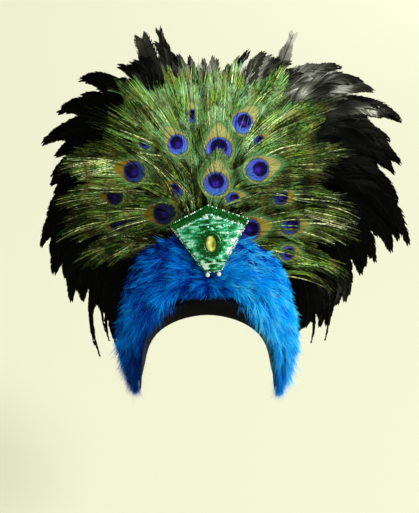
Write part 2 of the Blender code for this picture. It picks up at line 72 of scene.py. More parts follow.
# Camera: straight in front, looking down at the fan.
VIEW_TARGET = (0.0022, 0.0, 0.0134)
VIEW_DISTANCE = 1.30
VIEW_ELEVATION = 24.0
LENS = 82.93
FLOOR_Z = -0.52
FLOOR_RADIUS = 9.0

# Light: a pale sky, a broad sun from the right, and square soft lights.
WORLD_COLOUR = "#f6f5e6"
WORLD_STRENGTH = 0.34
SUN_FROM = (1.05, -0.75, 0.9)
SUN_STRENGTH = 3.4
SUN_SPREAD_DEG = 25.0
SUN_COLOUR = (1.0, 0.995, 0.97)
# Columns: name, place, what it faces, side in metres, watts, colour.
SOFT_LIGHTS = (
    ("upper_right", (0.9, 0.1, 1.1), (0.05, 0.0, 0.15), 0.5, 5.0, (1.0, 1.0, 1.0)),
    ("far_floor", (2.6, 4.2, 2.4), (1.6, 3.6, FLOOR_Z), 2.0, 46.0, (0.80, 0.88, 1.0)),
)

# Head form that the cap and the plumage follow.
HEAD_HALF_WIDTH = 0.077
HEAD_HALF_DEPTH = 0.096
CROWN_RISE = 0.100
FELT = 0.0025

# The bowed surface that every feather of the fan lies on, in layers from front to back.
FAN_BOW = 0.8
FAN_FOCUS_Z = 0.030
FRONT_LAYER_Y = -0.024
LAYER_PITCH = 0.0016

# Peacock feathers: the eye's centre, the way the tip points, the layer, the reach past the eye,
# half the width of the fringe, the radius of the blue disc, the share of the eye that strands veil
# and how much painted light the eye gets.
QUILL_HUB_X = 0.008
QUILL_HUB_Z = 0.050
QUILL_START = 0.014
QUILL_HALF = (0.0009, 0.00015)
# The tip past the eye turns down by this much in all where it lies level.
DROOP_DEG = 15.0
SPINE_STEPS = 40
PEACOCK_COLUMNS = (
    "node", "side", "eye_x", "eye_z", "heading", "layer", "reach", "half_width", "disc", "veil", "eye_light"
)
PEACOCK = (
    ("peacock_centre_front", 0, 9, 106, 86, 0, 41, 22, 12.8, 0.0, 0.92),
    ("peacock_centre_rear", 0, 12, 140, 90, 3, 96, 30, 13.6, 0.5, 1.0),
    ("peacock_left_brow", -1, -46, 72, 182, 1, 92, 26, 11.6, 0.15, 0.25),
    ("peacock_left_cheek", -1, -96, 57, 186, 4, 76, 27, 9.5, 0.65, 0.25),
    ("peacock_left_wing", -1, -77, 116, 167, 2, 88, 29, 11.5, 0.0, 0.48),
    ("peacock_left_inner", -1, -34, 96, 138, 3, 92, 25, 8.4, 0.1, 0.6),
    ("peacock_left_rise", -1, -31, 145, 122, 4, 96, 28, 10.6, 0.0, 0.95),
    ("peacock_left_outer", -1, -99, 86, 178, 5, 74, 26, 8.6, 0.5, 0.2),
    ("peacock_left_shoulder", -1, -65, 145, 147, 6, 92, 28, 6.8, 0.6, 0.55),
    ("peacock_left_crest", -1, -15, 172, 100, 9, 58, 26, 7.2, 0.8, 1.0),
    ("peacock_left_peak", -1, -30, 179, 105, 10, 54, 25, 4.5, 0.8, 0.8),
    ("peacock_right_brow", 1, 44, 55, 14, 0, 92, 26, 12.6, 0.0, 0.6),
    ("peacock_right_inner", 1, 27, 89, 20, 1, 74, 16, 7.2, 0.3, 0.7),
    ("peacock_right_wing", 1, 53, 119, 17, 2, 98, 29, 12.2, 0.0, 0.86),
    ("peacock_right_cheek", 1, 89, 56, -4, 3, 82, 27, 10.6, 0.2, 0.65),
    ("peacock_right_jaw", 1, 87, 23, -9, 4, 72, 22, 8.5, 0.2, 0.65),
    ("peacock_right_outer", 1, 78, 87, 0, 5, 84, 26, 8.4, 0.25, 0.5),
    ("peacock_right_shoulder", 1, 55, 147, 34, 6, 90, 28, 6.0, 0.8, 0.6),
    ("peacock_right_crest", 1, 37, 165, 49, 8, 72, 27, 11.0, 0.05, 1.0),
    ("herl_left_jaw", -1, -84, 34, 194, 7, 70, 24, 0, 0, 0),
    ("herl_left_side", -1, -100, 118, 164, 8, 66, 28, 0, 0, 0),
    ("herl_left_top", -1, -62, 168, 127, 11, 60, 28, 0, 0, 0),
    ("herl_left_low", -1, -94, 66, 184, 12, 78, 28, 0, 0, 0),
    ("herl_centre_left", 0, -8, 184, 95, 13, 50, 28, 0, 0, 0),
    ("herl_centre_right", 0, 24, 186, 79, 12, 48, 28, 0, 0, 0),
    ("herl_right_top", 1, 56, 178, 60, 11, 58, 28, 0, 0, 0),
    ("herl_right_high", 1, 82, 152, 42, 10, 74, 28, 0, 0, 0),
    ("herl_right_side", 1, 96, 120, 22, 9, 68, 28, 0, 0, 0),
    ("herl_right_low", 1, 100, 74, 5, 7, 72, 26, 0, 0, 0),
)
FEATHERS = [dict(zip(PEACOCK_COLUMNS, values)) for values in PEACOCK]

# Zones of an eye in disc radii: shift towards the tip, half length, half width.
# The ochre field is a drop, so it also narrows towards the tip.
OCHRE_ZONE = (0.45, 1.78, 1.36)
OCHRE_NARROWING = 0.30
PUPIL_ZONE = (0.24, 0.64, 0.66)
# A painted highlight in the pupil, a little towards the quill.
PUPIL_HIGHLIGHT_ZONE = (-0.02, 0.42, 0.46)
# Middle of the painted sheen, where the barbs turn blue green.
SHEEN_MIDDLE = (0.004, 0.0, 0.190)
VANE_BACK = -1.45
VANE_FRONT = 2.8
VANE_HALF = 1.55
VANE_CUP = 0.0006
# Depths of a feather's parts from the barbs' own.
VANE_BEHIND = 0.0002
WEB_BEHIND = 0.0009
QUILL_AHEAD = 0.0012

# Stray locks that lie across an eye and leave only a part of it in view, or fly off alone.
# Columns: feather, start x and z, end x and z, half spread, barbs, share of pale barbs, which are
# painted glints, arch as a share of the length. In mm.
COVERS = (
    ("peacock_left_crest", -22, 150, -25, 206, 3.6, 26, 0.0, 0.03),
    ("peacock_left_crest", -9, 148, -8, 206, 3.4, 24, 0.0, 0.03),
    ("peacock_left_peak", -27, 160, -32, 208, 3.0, 16, 0.0, 0.03),
    ("peacock_right_crest", 42, 144, 70, 192, 3.2, 20, 0.0, 0.03),
    ("peacock_right_shoulder", 42, 133, 84, 158, 3.4, 24, 0.1, 0.03),
    ("peacock_right_shoulder", 40, 144, 78, 176, 3.0, 22, 0.1, 0.03),
    ("peacock_left_outer", -70, 92, -126, 92, 3.4, 16, 0.2, 0.03),
    ("peacock_left_cheek", -70, 68, -126, 64, 3.4, 12, 0.3, 0.03),
    ("peacock_left_wing", -103, 122, -144, 109, 11.0, 20, 0.4, 0.03),
    ("peacock_right_cheek", 108, 70, 164, 50, 6.0, 20, 0.45, 0.03),
    ("peacock_left_shoulder", -48, 140, -92, 158, 3.0, 14, 0.05, 0.03),
    ("peacock_left_inner", -15, 87, -46, 119, 2.4, 14, 0.1, 0.03),
    ("peacock_right_inner", 20, 82, 52, 92, 2.6, 12, 0.1, 0.03),
    ("peacock_right_outer", 58, 93, 110, 97, 2.6, 12, 0.2, 0.03),
    ("peacock_right_jaw", 66, 30, 118, 14, 2.4, 10, 0.3, 0.03),
    ("peacock_right_jaw", 92, 8, 150, -14, 5.0, 18, 0.1, 0.14),
    ("peacock_right_jaw", 84, -2, 138, -30, 4.0, 12, 0.0, 0.16),
    ("peacock_right_jaw", 80, -4, 132, -24, 0.8, 2, 1.0, 0.08),
)

# Places without barbs, where the cock plumes behind show.
# Columns: middle x and z, half width and half height, in mm.
BARE = (
    (-136, 177, 36, 31),
    (-7, 215, 8, 14),
    (45, 214, 12, 15),
)
# The share of barbs that cross such a place all the same.
BARE_STRAYS = 0.15

# Barbs hold together in locks that sway this far, in metres, at their ends.
LOCK_BARBS = 11
LOCK_SWAY = 0.0030
BARB_STATIONS = 8
BARB_WAVE = 0.0009
# A barb of which less is left over is taken out.
SHORTEST_BARB = 0.22
# The share of dark barbs, which are painted shade between the locks, on feathers with an eye and without
# one.
DARK_SHARE = 0.42
DARK_SHARE_NO_EYE = 0.48
# Strands above this tone are pale glints.
PALE_TONE = 0.83
# Half width of the barbs of a stray lock.
COVER_HALF = 0.00038
# The place in an eye, in disc radii, of a strand that lies off it.
OFF_EYE = 9.0
# A feather without an eye is fringed as if it had a disc of this radius.
NO_EYE_SIZE = 0.009
# Barbs and webs stop at this squared distance from the middle of an eye behind: 1 is its field's edge.
BARB_CLEARANCE = 0.8
WEB_CLEARANCE = 1.15
# Fringe: where its roots begin and end, in disc radii from the eye, and its least width in metres.
FRINGE_ROOTS = (-1.7, 1.5)
FRINGE_LEAST = 0.0015
# Loose barbs: least and greatest length in metres, and angle to the quill in degrees.
LOOSE_LENGTHS = (0.028, 0.060)
LOOSE_ANGLES = (26.0, 44.0)
# Feathers from this layer back have a close web under their loose barbs.
FIRST_WEB_LAYER = 7
# Loose barbs of the side feathers sag by this share of their length.
BARB_SAG = 0.24

# Cock plumes: hub, root and bend of each, as shares of its lean from upright.
COCK_HUB_Z = 0.030
COCK_ROOT_RADIUS = 0.036
COCK_ROOT_SHARE = 0.55
COCK_BEND_SHARE = 0.60
COCK_BEND_REACH = 0.96
COCK_LOW_LEAN = 95.0
COCK_LOW_SHARE_PER_DEG = 0.0030
COCK_LOW_REACH_PER_DEG = 0.0035
COCK_REAR_Y = 0.0022
COCK_NEAR_Y = 0.0
# The near plumes' share of the rear ones' reach: polar angles in degrees and shares.
COCK_NEAR_REACH = ((38.0, 45.5, 53.0), (0.94, 0.99, 0.94))
PLUMES_PER_SPRAY = 7
# Tips of the rear layer. Columns: polar angle in degrees, reach in mm, share of grey sheen.
COCK_TIPS = (
    (-52, 178, 0.0),
    (-42, 184, 0.0),
    (-30, 182, 0.0),
    (-18, 184, 0.0),
    (-7, 232, 0.0),
    (7, 216, 0.0),
    (18, 228, 0.0),
    (29, 246, 0.08),
    (40, 240, 0.2),
    (51, 234, 0.35),
    (61, 209, 0.55),
    (67.5, 244, 1.0),
    (77, 212, 0.7),
    (88, 203, 0.6),
    (96, 203, 0.6),
    (103, 237, 0.45),
    (108, 236, 0.5),
    (118, 212, 0.1),
    (130, 221, 0.0),
    (141, 212, 0.0),
    (152, 208, 0.0),
    (163, 182, 0.0),
    (175, 180, 0.0),
    (187, 190, 0.0),
    (198, 184, 0.0),
    (210, 184, 0.0),
    (221, 180, 0.0),
    (234, 194, 0.0),
)
# The lowest plumes are shorter in part: polar angles in degrees and shares of their reach.
LOW_ENDS = ((-52, -42, 208, 221), (0.92, 1.0, 1.0, 0.87))
# Places where the plumes shine pale. Columns: middle x and z, half width and half height in mm,
# and the least share of it that every plume there has.
GLEAMS = (
    (97, 190, 11, 8, 1.0),
    (121, 207, 20, 5, 0.6),
    (142, 192, 9, 6, 0.95),
    (177, 167, 15, 6, 1.0),
    (-7, 216, 12, 16, 0.65),
    (44, 215, 14, 14, 0.35),
    (60, 238, 10, 10, 0.0),
    (93, 236, 10, 16, 0.0),
    (146, -44, 14, 20, 0.11),
)
# Thin hooked plumes that hang from the lower ends. Columns: polar angle in degrees, reach in mm.
WISPS = (
    (233.0, 208),
    (228.5, 198),
    (225.0, 184),
    (231.0, 180),
    (235.5, 176),
    (237.5, 188),
    (240.5, 166),
    (-46.0, 196),
    (-50.0, 186),
    (-56.0, 176),
    (227.0, 172),
    (222.5, 180),
    (233.5, 173),
    (-59.0, 160),
)
WISP_WIDTHS = ((0.0, 0.6), (0.4, 2.0), (0.65, 2.6), (0.85, 1.5), (1.0, 0.2))
# Columns: share of the way from root to tip, half width there in mm.
COCK_WIDTHS = (
    (0.00, 1.5),
    (0.15, 5.0),
    (0.30, 9.0),
    (0.45, 11.5),
    (0.60, 12.0),
    (0.75, 11.0),
    (0.87, 7.6),
    (0.95, 3.8),
    (1.00, 0.3),
)
SLIM_WIDTHS = ((0.0, 1.0), (0.4, 5.0), (0.75, 6.5), (0.88, 6.0), (0.93, 2.8), (0.97, 4.0), (1.0, 1.6))
BLUNT_WIDTHS = ((0.0, 1.5), (0.3, 7.0), (0.6, 9.5), (0.85, 10.5), (0.95, 9.0), (0.985, 6.0), (1.0, 2.5))
STANDING_WIDTHS = ((0.0, 1.0), (0.4, 6.0), (0.75, 8.5), (0.88, 7.0), (0.93, 3.2), (0.97, 4.6), (1.0, 2.0))
# Three upright plumes of their own form, each lit all along.
# Columns: share of the lean and share of the reach at the bend, half widths, how ragged, tone.
ODD_PLUMES = {
    67.5: (1.0, 0.84, STANDING_WIDTHS, 0.2, 0.72),
    103: (0.86, 0.84, SLIM_WIDTHS, 0.6, 0.42),
    108: (0.92, 0.82, BLUNT_WIDTHS, 0.0, 0.42),
}
# Plumes laid round each main one. Columns: turn towards upright in degrees, share of its reach,
# step back in mm, extra droop of the tip.
FILLERS = (
    (0.0, 1.00, 0.0, 0.00),
    (2.8, 0.975, 0.3, 0.03),
    (-2.4, 0.95, 0.6, -0.03),
    (5.0, 0.92, 1.0, 0.02),
    (1.4, 0.88, 0.2, 0.05),
    (-4.4, 0.86, 1.2, -0.02),
)
# Share of a filler's length that is hidden under the peacock feathers and gets no barbs.
HIDDEN_SHARE = 0.42
MAIN_BARE_SHARE = 0.07
# The sides of a plume stand forward of its quill by this share of their width.
PLUME_DISH = 0.10
PLUME_QUILL_HALF = (0.0010, 0.0002)
# Depths of its parts from the barbs' own.
PLUME_WEB_BEHIND = 0.0004
PLUME_QUILL_AHEAD = 0.0005
WISP_BEHIND = 0.001

# Blue plumage: stations from the middle of the brow to the tip of a flap. Degrees and mm.
PLUMAGE_COLUMNS = (
    "rim_turn", "rim_drop", "back_turn", "back_drop", "edge_x", "edge_y", "edge_z", "bulge", "crest"
)
PLUMAGE = (
    (0, 12.5, 0, 1.0, 0, -39, 48, 8, 0.10),
    (15, 12.8, 30, 4, 19, -39, 50, 9, 0.20),
    (28, 13.8, 50, 9.5, 38, -39, 52, 11, 0.45),
    (42, 17, 66, 24, 58, -35, 39, 12, 0.75),
    (51, 26, 73, 36, 73, -30, 24, 11, 0.75),
    (58, 40, 78, 47, 84, -26, 5, 10, 0.75),
    (63, 52, 82, 58, 89, -22, -15, 9, 0.75),
    (67, 66, 86, 71, 92, -18, -34, 9, 0.75),
    (70, 82, 90, 84, 98, -14, -55, 8, 0.75),
    (73, 97, 95, 96, 100, -10, -76, 8, 0.75),
    (75, 111, 98, 110, 97, -8, -96, 7, 0.75),
    (76, 125, 100, 124, 93, -6, -116, 6, 0.75),
    (78, 139, 100, 137, 87, -5, -135, 4.5, 0.75),
    (80, 148, 98, 147, 83.5, -4, -150, 3, 0.75),
)
PLUMAGE_GAP = 0.0012
LAST_STATION = len(PLUMAGE) - 1
UNDERCOAT_DEPTH = 0.001
# The undercoat's deep blue is painted shade under the strands.
UNDERCOAT_TONE = 0.16
# Down in tufts: strands and their stations, half width, spread of their roots and how deep they are.
TUFT_STRANDS = 13
TUFT_STATIONS = 4
TUFT_HALF = 0.00020
TUFT_FOOT = 0.0008
TUFT_DEPTH = 0.0012

# Kite plaque: its own frame leans back against the quills and rolls a little to one side.
PLAQUE_CENTRE = (0.0038, -0.0480, 0.0492)
PLAQUE_LEAN = math.atan(0.45)
PLAQUE_ROLL = math.radians(4.3)
PLAQUE_HALF_WIDTH = 0.0425
PLAQUE_TOP = 0.0407
PLAQUE_SHOULDER = 0.0230
PLAQUE_FOOT = -0.0295
PLAQUE_FOOT_HALF = 0.0084
PLAQUE_EDGE = -0.0020
PLAQUE_RIDGE_DROP = 0.0095
PLAQUE_FACE_RISE = 0.0032
PATCH_HALF = (0.0120, 0.0143)
STONE_HALF = (0.0055, 0.0088)
STONE_HEIGHT = 0.0052
# Steps of the cut, in shares of the stone's half width: inset and rise.
STONE_STEPS = ((0.16, 0.55), (0.22, 0.35))
PIECE_GAP = 0.0004
STONE_LOW = PLAQUE_FACE_RISE + PIECE_GAP
# Rings of beads on the patch: share of its half width and height above the stone's foot.
PATCH_RINGS = ((0.62, 0.0026), (0.80, 0.0027), (0.97, 0.0020))
PATCH_BEAD_RADIUS = 0.00075
# Beads of a ring as wide as the patch.
PATCH_BEADS = 38
BEAD_RADIUS = 0.0023
BEAD_SPREAD = 0.0060
SEQUIN_SIDES = 8
SEQUIN_DISH = 0.00025
SEQUIN_LIFT = 0.0004
# The bright line along the fold reaches this far to both sides of it.
FOLD_HALF = 0.0009
EDGING_INSET = 0.0004
EDGING_RISE = 0.0006

Spine = namedtuple("Spine", "along x z heading")
Barbs = namedtuple("Barbs", "root angle end aside")
PlumeLook = namedtuple("PlumeLook", "widths sheen gap bare ragged tone", defaults=(None,))


def linear(code):
    """An sRGB hex code as linear red, green and blue."""
    parts = [int(code[i:i + 2], 16) / 255.0 for i in (1, 3, 5)]
    return tuple(c / 12.92 if c <= 0.04045 else ((c + 0.055) / 1.055) ** 2.4 for c in parts)


def rgba(colour, alpha=1.0):
    """A hex code or a linear colour with its alpha."""
    return (*(linear(colour) if isinstance(colour, str) else colour), alpha)


def times(colour, share):
    """A linear colour made darker or lighter."""
    return tuple(min(1.0, c * share) for c in colour)


def mixed(colour, other, share):
    """A share of the way from one linear colour to another."""
    return tuple(c + (o - c) * share for c, o in zip(colour, other))


def size_prop(name, about, size, least):
    """A length that a user can change."""
    return FloatProperty(name=name, description=about, default=size, min=least, unit="LENGTH")


def colour_prop(name, code, about):
    """A colour that a user can change."""
    return FloatVectorProperty(
        name=name, description=about, subtype="COLOR", size=3, min=0.0, max=1.0, default=linear(code)
    )


class HeaddressSizes(bpy.types.PropertyGroup):
    """Sizes that a user would change."""

    herl_gap: size_prop("Herl spacing", "Distance between barb roots along a quill", 0.0011, 0.0004)
    herl_width: size_prop(
        "Herl width", "Width of one peacock barb, drawn coarse enough to show", 0.0012, 0.0003
    )
    plume_gap: size_prop("Cock barb spacing", "Distance between barbs of a cock plume", 0.0016, 0.0005)
    fur_length: size_prop("Plumage length", "Length of a strand of the blue plumage", 0.017, 0.005)
    fur_tufts: IntProperty(
        name="Plumage tufts", description="Tufts of the blue plumage", default=2450, min=100,
    )
    sequin_pitch: size_prop("Sequin pitch", "Distance between rows of sequins", 0.0016, 0.001)
    edging_bead: size_prop(
        "Edging bead", "Diameter of the beads along the edge of the plaque", 0.0020, 0.0008
    )


class HeaddressColours(bpy.types.PropertyGroup):
    """Colours that a user would change."""

    herl: colour_prop("Herl", "#74952a", "Olive green of the loose barbs")
    ochre: colour_prop("Ochre", "#b0b470", "Gold field of a peacock eye")
    disc: colour_prop("Disc", "#6060f4", "Violet blue disc of a peacock eye")
    pupil: colour_prop("Pupil", "#241272", "Dark heart of a peacock eye")
    plume: colour_prop("Cock plume", "#040504", "Black of the cock plumes")
    plumage: colour_prop("Plumage", "#0092ff", "Turquoise blue of the plumage")
    lame: colour_prop("Lame", "#2aa86c", "Green of the sequined plaque")
    stone: colour_prop("Stone", "#b9bd2f", "Yellow green of the oval stone")
    floor: colour_prop("Floor", "#ecedd2", "Pale cream of the floor")


def in_use(sockets):
    """The sockets that a node's settings leave in use."""
    return [socket for socket in sockets if socket.enabled]


def add_node(tree, kind, *inputs, stops=(), **settings):
    """Add a shader node with its settings, its colour stops, and its values or links.

    Inputs come in the order of the sockets in use, and None leaves one as it is. A node given as an
    input stands for its first output, and a stop is a place, a colour and, where not 1, its alpha.
    """
    made = tree.nodes.new("ShaderNode" + kind)
    for key, value in settings.items():
        setattr(made, key, value)
    if stops:
        elements = made.color_ramp.elements
        while len(elements) < len(stops):
            elements.new(1.0)
        for element, (place, *colour) in zip(elements, stops):
            element.position = place
            element.color = rgba(*colour)
    for socket, value in zip(in_use(made.inputs), inputs):
        if isinstance(value, bpy.types.Node):
            value = in_use(value.outputs)[0]
        if isinstance(value, bpy.types.NodeSocket):
            tree.links.new(value, socket)
        elif value is not None:
            socket.default_value = value
    return made


def new_material(name, **sockets):
    """A Principled material and its nodes; sockets with spaces are written with underscores."""
    made = bpy.data.materials.new(name)
    made.use_nodes = True
    for key, value in sockets.items():
        made.node_tree.nodes["Principled BSDF"].inputs[key.replace("_", " ")].default_value = value
    return made, made.node_tree


def painted(made, colour, bump=None):
    """The material, coloured by one node and with its surface turned by the other."""
    tree = made.node_tree
    for node, socket in ((colour, "Base Color"), (bump, "Normal")):
        if node:
            tree.links.new(in_use(node.outputs)[0], tree.nodes["Principled BSDF"].inputs[socket])
    return made


def mark_parts(tree, mark):
    """The three numbers of a mark that a sheaf holds."""
    held = add_node(tree, "Attribute", attribute_name=mark)
    return add_node(tree, "SeparateXYZ", held.outputs["Vector"]).outputs


def piled(name, grain, detail, stops, strength, relief, **sockets):
    """A material mottled by its pile, with grain tufts to a metre that stand relief metres high."""
    made, tree = new_material(name, **sockets)
    pile = add_node(tree, "TexNoise", add_node(tree, "TexCoord").outputs["Object"], grain, detail)
    bump = add_node(tree, "Bump", strength, relief, None, pile)
    return painted(made, add_node(tree, "ValToRGB", pile, stops=stops), bump)


def felt_material():
    """Black wool felt, pressed: matt, with a short mottled nap that catches a little light."""
    return piled(
        "pressed_wool_felt", 700.0, 4.0, ((0.3, "#060607"), (0.75, "#151518")), 0.5, 0.0004,
        Roughness=0.92, Sheen_Weight=0.06, Sheen_Roughness=0.5, Specular_IOR_Level=0.1,
    )


def velvet_material():
    """Black cotton velvet ribbon: a deep pile that is darkest face on and pale at its edges."""
    return piled(
        "cotton_velvet_ribbon", 1100.0, 2.0, ((0.3, "#020203"), (0.8, "#0c0c0e")), 0.6, 0.0003,
        Roughness=0.85, Sheen_Weight=0.06, Sheen_Roughness=0.35, Specular_IOR_Level=0.05,
    )


def herl_colour(tree, colours):
    """Colour of the loose barbs, by the mark herl: tone, distance along in centimetres, light."""
    tone, along, light = mark_parts(tree, "herl")
    olive = tuple(colours.herl)
    strand = add_node(
        tree, "ValToRGB", tone,
        stops=(
            (0.00, "#040601"),
            (0.25, times(olive, 0.10)),
            (0.42, mixed(times(olive, 0.5), linear("#1f5a24"), 0.5)),
            (0.56, olive),
            (0.70, "#4e9460"),
            (0.82, "#a4b256"),
            (0.94, "#eaf4c0"),
            (1.00, "#3a2a14"),
        ),
    )
    # Barbules catch the light in dashes about 3 mm long.
    dashes = add_node(tree, "TexNoise", along, 3.2, 1.0, noise_dimensions="1D")
    glint = add_node(tree, "MapRange", dashes, 0.35, 0.65, 0.35, 1.65)
    lit = add_node(tree, "Math", glint, light, operation="MULTIPLY")
    # Painted shade and light in patches about 15 mm across: locks that lie deeper are darker, others
    # lighter, and some turn bronze.
    place = add_node(tree, "TexCoord").outputs["Object"]
    patch = add_node(tree, "TexNoise", place, 62.0, 2.0)
    depth = add_node(tree, "MapRange", patch, 0.36, 0.62, 0.34, 1.50)
    tints = add_node(tree, "SeparateColor", patch.outputs["Color"]).outputs
    bronze = add_node(tree, "MapRange", tints["Blue"], 0.48, 0.64, 0.0, 0.55)
    turned = add_node(tree, "Mix", bronze, strand, rgba("#6e6430"), data_type="RGBA")
    # Painted sheen: high in the middle the barbules turn a soft blue green in other patches.
    away = add_node(tree, "VectorMath", place, SHEEN_MIDDLE, operation="DISTANCE")
    high = add_node(tree, "MapRange", away, 0.035, 0.095, 0.42, 0.0)
    cool = add_node(tree, "MapRange", tints["Green"], 0.46, 0.60, 0.0, 1.0)
    share = add_node(tree, "Math", high, cool, operation="MULTIPLY")
    sheened = add_node(tree, "Mix", share, turned, rgba("#7cac94"), data_type="RGBA", blend_type="SCREEN")
    seen = add_node(tree, "Math", lit, depth, operation="MULTIPLY")
    capped = add_node(tree, "Math", seen, 1.9, operation="MINIMUM")
    return add_node(tree, "VectorMath", sheened, capped, operation="SCALE")


def zone(tree, ahead, aside, shift, half_length, half_width, narrowing=0.0):
    """Half the distance from the middle of a zone of the eye: 0.5 on its edge."""
    along = add_node(
        tree, "Math", ahead, 0.5 / half_length, -0.5 * shift / half_length, operation="MULTIPLY_ADD"
    )
    width = add_node(tree, "Math", ahead, -2.0 * narrowing, 2.0 * half_width, operation="MULTIPLY_ADD")
    across = add_node(tree, "Math", aside, width, operation="DIVIDE")
    place = add_node(tree, "CombineXYZ", along, across)
    return add_node(tree, "VectorMath", place, operation="LENGTH")


def eye_rim(tree, drop, eye_light, barbs):
    """Bands of gold and green round the drop of an eye, over its barbs and as bright as it is lit."""
    rim = add_node(
        tree, "ValToRGB", drop,
        stops=(
            (0.45, "#7c8a3c"),
            (0.49, "#b4c07a", 0.95),
            (0.53, "#4a7c34", 0.85),
            (0.575, "#74b080", 0.65),
            (0.64, "#4c8c4c", 0.40),
            (0.76, "#4c8c4c", 0.0),
        ),
    )
    share = add_node(tree, "Math", rim.outputs["Alpha"], eye_light, operation="MULTIPLY")
    return add_node(tree, "Mix", share, barbs, rim, data_type="RGBA")


def eye_field(tree, ahead, eye_light, colours):
    """The gold field of an eye. The less the eye is lit, the browner it is."""
    run = add_node(tree, "MapRange", ahead, 0.1, 1.2, 0.0, 1.0)
    ochre = tuple(colours.ochre)
    pale = add_node(
        tree, "ValToRGB", run,
        stops=(
            (0.0, "#6a7438"),
            (0.4, mixed(ochre, linear("#b8843c"), 0.75)),
            (0.75, mixed(ochre, linear("#c09048"), 0.45)),
            (1.0, times(ochre, 1.15)),
        ),
    )
    brown = add_node(tree, "ValToRGB", run, stops=((0.0, "#5a6a10"), (0.45, "#9c5e12"), (1.0, "#c6ac2c")))
    lit = add_node(tree, "MapRange", eye_light, 0.5, 0.9, 0.0, 1.0)
    return add_node(tree, "Mix", lit, brown, pale, data_type="RGBA")


def eye_disc(tree, ahead, aside, eye_light, field, colours):
    """The disc on its field, blue towards the quill and violet towards the tip, with its pupil and a
    painted highlight in the pupil.
    """
    turn = add_node(tree, "MapRange", ahead, -1.0, 1.0, 0.0, 1.0)
    violet = add_node(
        tree, "ValToRGB", turn,
        stops=((0.10, "#4a86f2"), (0.45, colours.disc), (0.9, times(colours.disc, 0.85))),
    )
    far = zone(tree, ahead, aside, 0.0, 1.0, 1.0)
    edge = add_node(
        tree, "ValToRGB", far,
        stops=((0.36, "#5c9af4", 0.0), (0.45, "#5c9af4", 0.55), (0.49, "#2c6284", 0.9)),
    )
    edged = add_node(tree, "Mix", edge.outputs["Alpha"], violet, edge, data_type="RGBA")
    # Painted shade: the disc darkens as the eye gets less light.
    disc = add_node(tree, "VectorMath", edged, eye_light, operation="SCALE")
    share = add_node(tree, "MapRange", far, 0.49, 0.53, 1.0, 0.0)
    whole = add_node(tree, "Mix", share, field, disc, data_type="RGBA")
    pupil_stops = (
        (0.00, times(colours.pupil, 0.6)),
        (0.36, times(colours.pupil, 0.25)),
        (0.47, times(colours.pupil, 0.30), 0.92),
        (0.56, "#3a30c8", 0.0),
    )
    # Painted highlight in the pupil.
    highlight_stops = (
        (0.00, times(colours.pupil, 4.2), 0.95),
        (0.25, times(colours.pupil, 3.0), 0.75),
        (0.50, times(colours.pupil, 1.5), 0.0),
    )
    for form, stops in ((PUPIL_ZONE, pupil_stops), (PUPIL_HIGHLIGHT_ZONE, highlight_stops)):
        spot = add_node(tree, "ValToRGB", zone(tree, ahead, aside, *form), stops=stops)
        whole = add_node(tree, "Mix", spot.outputs["Alpha"], whole, spot, data_type="RGBA")
    return whole


def peacock_material(colours):
    """Peacock herl: structural colour on dark barbs, so each strand glints green, gold or bronze.

    The mark eye holds the place in the eye in disc radii, ahead and aside, and how it is lit.
    """
    made, tree = new_material("peacock_herl", Roughness=0.5, Specular_IOR_Level=0.08)
    ahead, aside, eye_light = mark_parts(tree, "eye")
    # Fine barbs of the vane: ridges 0.7 mm apart that sweep forward from the quill.
    away = add_node(tree, "Math", aside, operation="ABSOLUTE")
    slant = add_node(tree, "Math", away, -0.8, ahead, operation="MULTIPLY_ADD")
    ridges = add_node(tree, "TexNoise", slant, 17.0, 1.0, noise_dimensions="1D")
    shade = add_node(tree, "MapRange", ridges, 0.3, 0.7, 0.6, 1.25)
    # The edge of the gold field is frayed along the barbs.
    field_far = zone(tree, ahead, aside, *OCHRE_ZONE, OCHRE_NARROWING)
    drop = add_node(tree, "Math", ridges, 0.10, field_far, operation="MULTIPLY_ADD")
    outer = eye_rim(tree, drop, eye_light, herl_colour(tree, colours))
    field = eye_field(tree, ahead, eye_light, colours)
    disc = eye_disc(tree, ahead, aside, eye_light, field, colours)
    # Painted shade: the whole eye darkens again as it gets less light.
    inner = add_node(tree, "VectorMath", disc, eye_light, operation="SCALE")
    inside = add_node(tree, "MapRange", drop, 0.44, 0.49, 1.0, 0.0)
    whole = add_node(tree, "Mix", inside, outer, inner, data_type="RGBA")
    return painted(made, add_node(tree, "VectorMath", whole, shade, operation="SCALE"))


def coque_material(colours):
    """Cock tail plumes: dyed black over oily keratin barbs, glossy along the barbs, with painted grey
    sheen.
    """
    made, tree = new_material("dyed_cock_plume", Roughness=0.45, Specular_IOR_Level=0.02)
    tone, _, sheen = mark_parts(tree, "plume")
    black = tuple(colours.plume)
    dyed = add_node(
        tree, "ValToRGB", tone,
        stops=(
            (0.0, times(black, 0.3)),
            (0.6, times(black, 0.7)),
            (0.88, times(black, 1.5)),
            (1.0, "#141611"),
        ),
    )
    # Painted sheen: pale grey highlights show in patches about 30 mm across.
    patch = add_node(tree, "TexNoise", add_node(tree, "TexCoord").outputs["Object"], 32.0, 1.0)
    sheen_amount = add_node(tree, "MapRange", patch, 0.40, 0.58, 0.4, 1.0)
    share = add_node(tree, "Math", sheen_amount, sheen, operation="MULTIPLY")
    grey = add_node(
        tree, "ValToRGB", tone,
        stops=((0.0, "#14160f"), (0.35, "#4c4f40"), (0.7, "#a6aa9a"), (1.0, "#f0f2e8")),
    )
    return painted(made, add_node(tree, "Mix", share, dyed, grey, data_type="RGBA"))


def toned(name, mark, stops, **sockets):
    """A material whose colour runs through its stops by the first number of a mark."""
    made, tree = new_material(name, **sockets)
    return painted(made, add_node(tree, "ValToRGB", mark_parts(tree, mark)["X"], stops=stops))


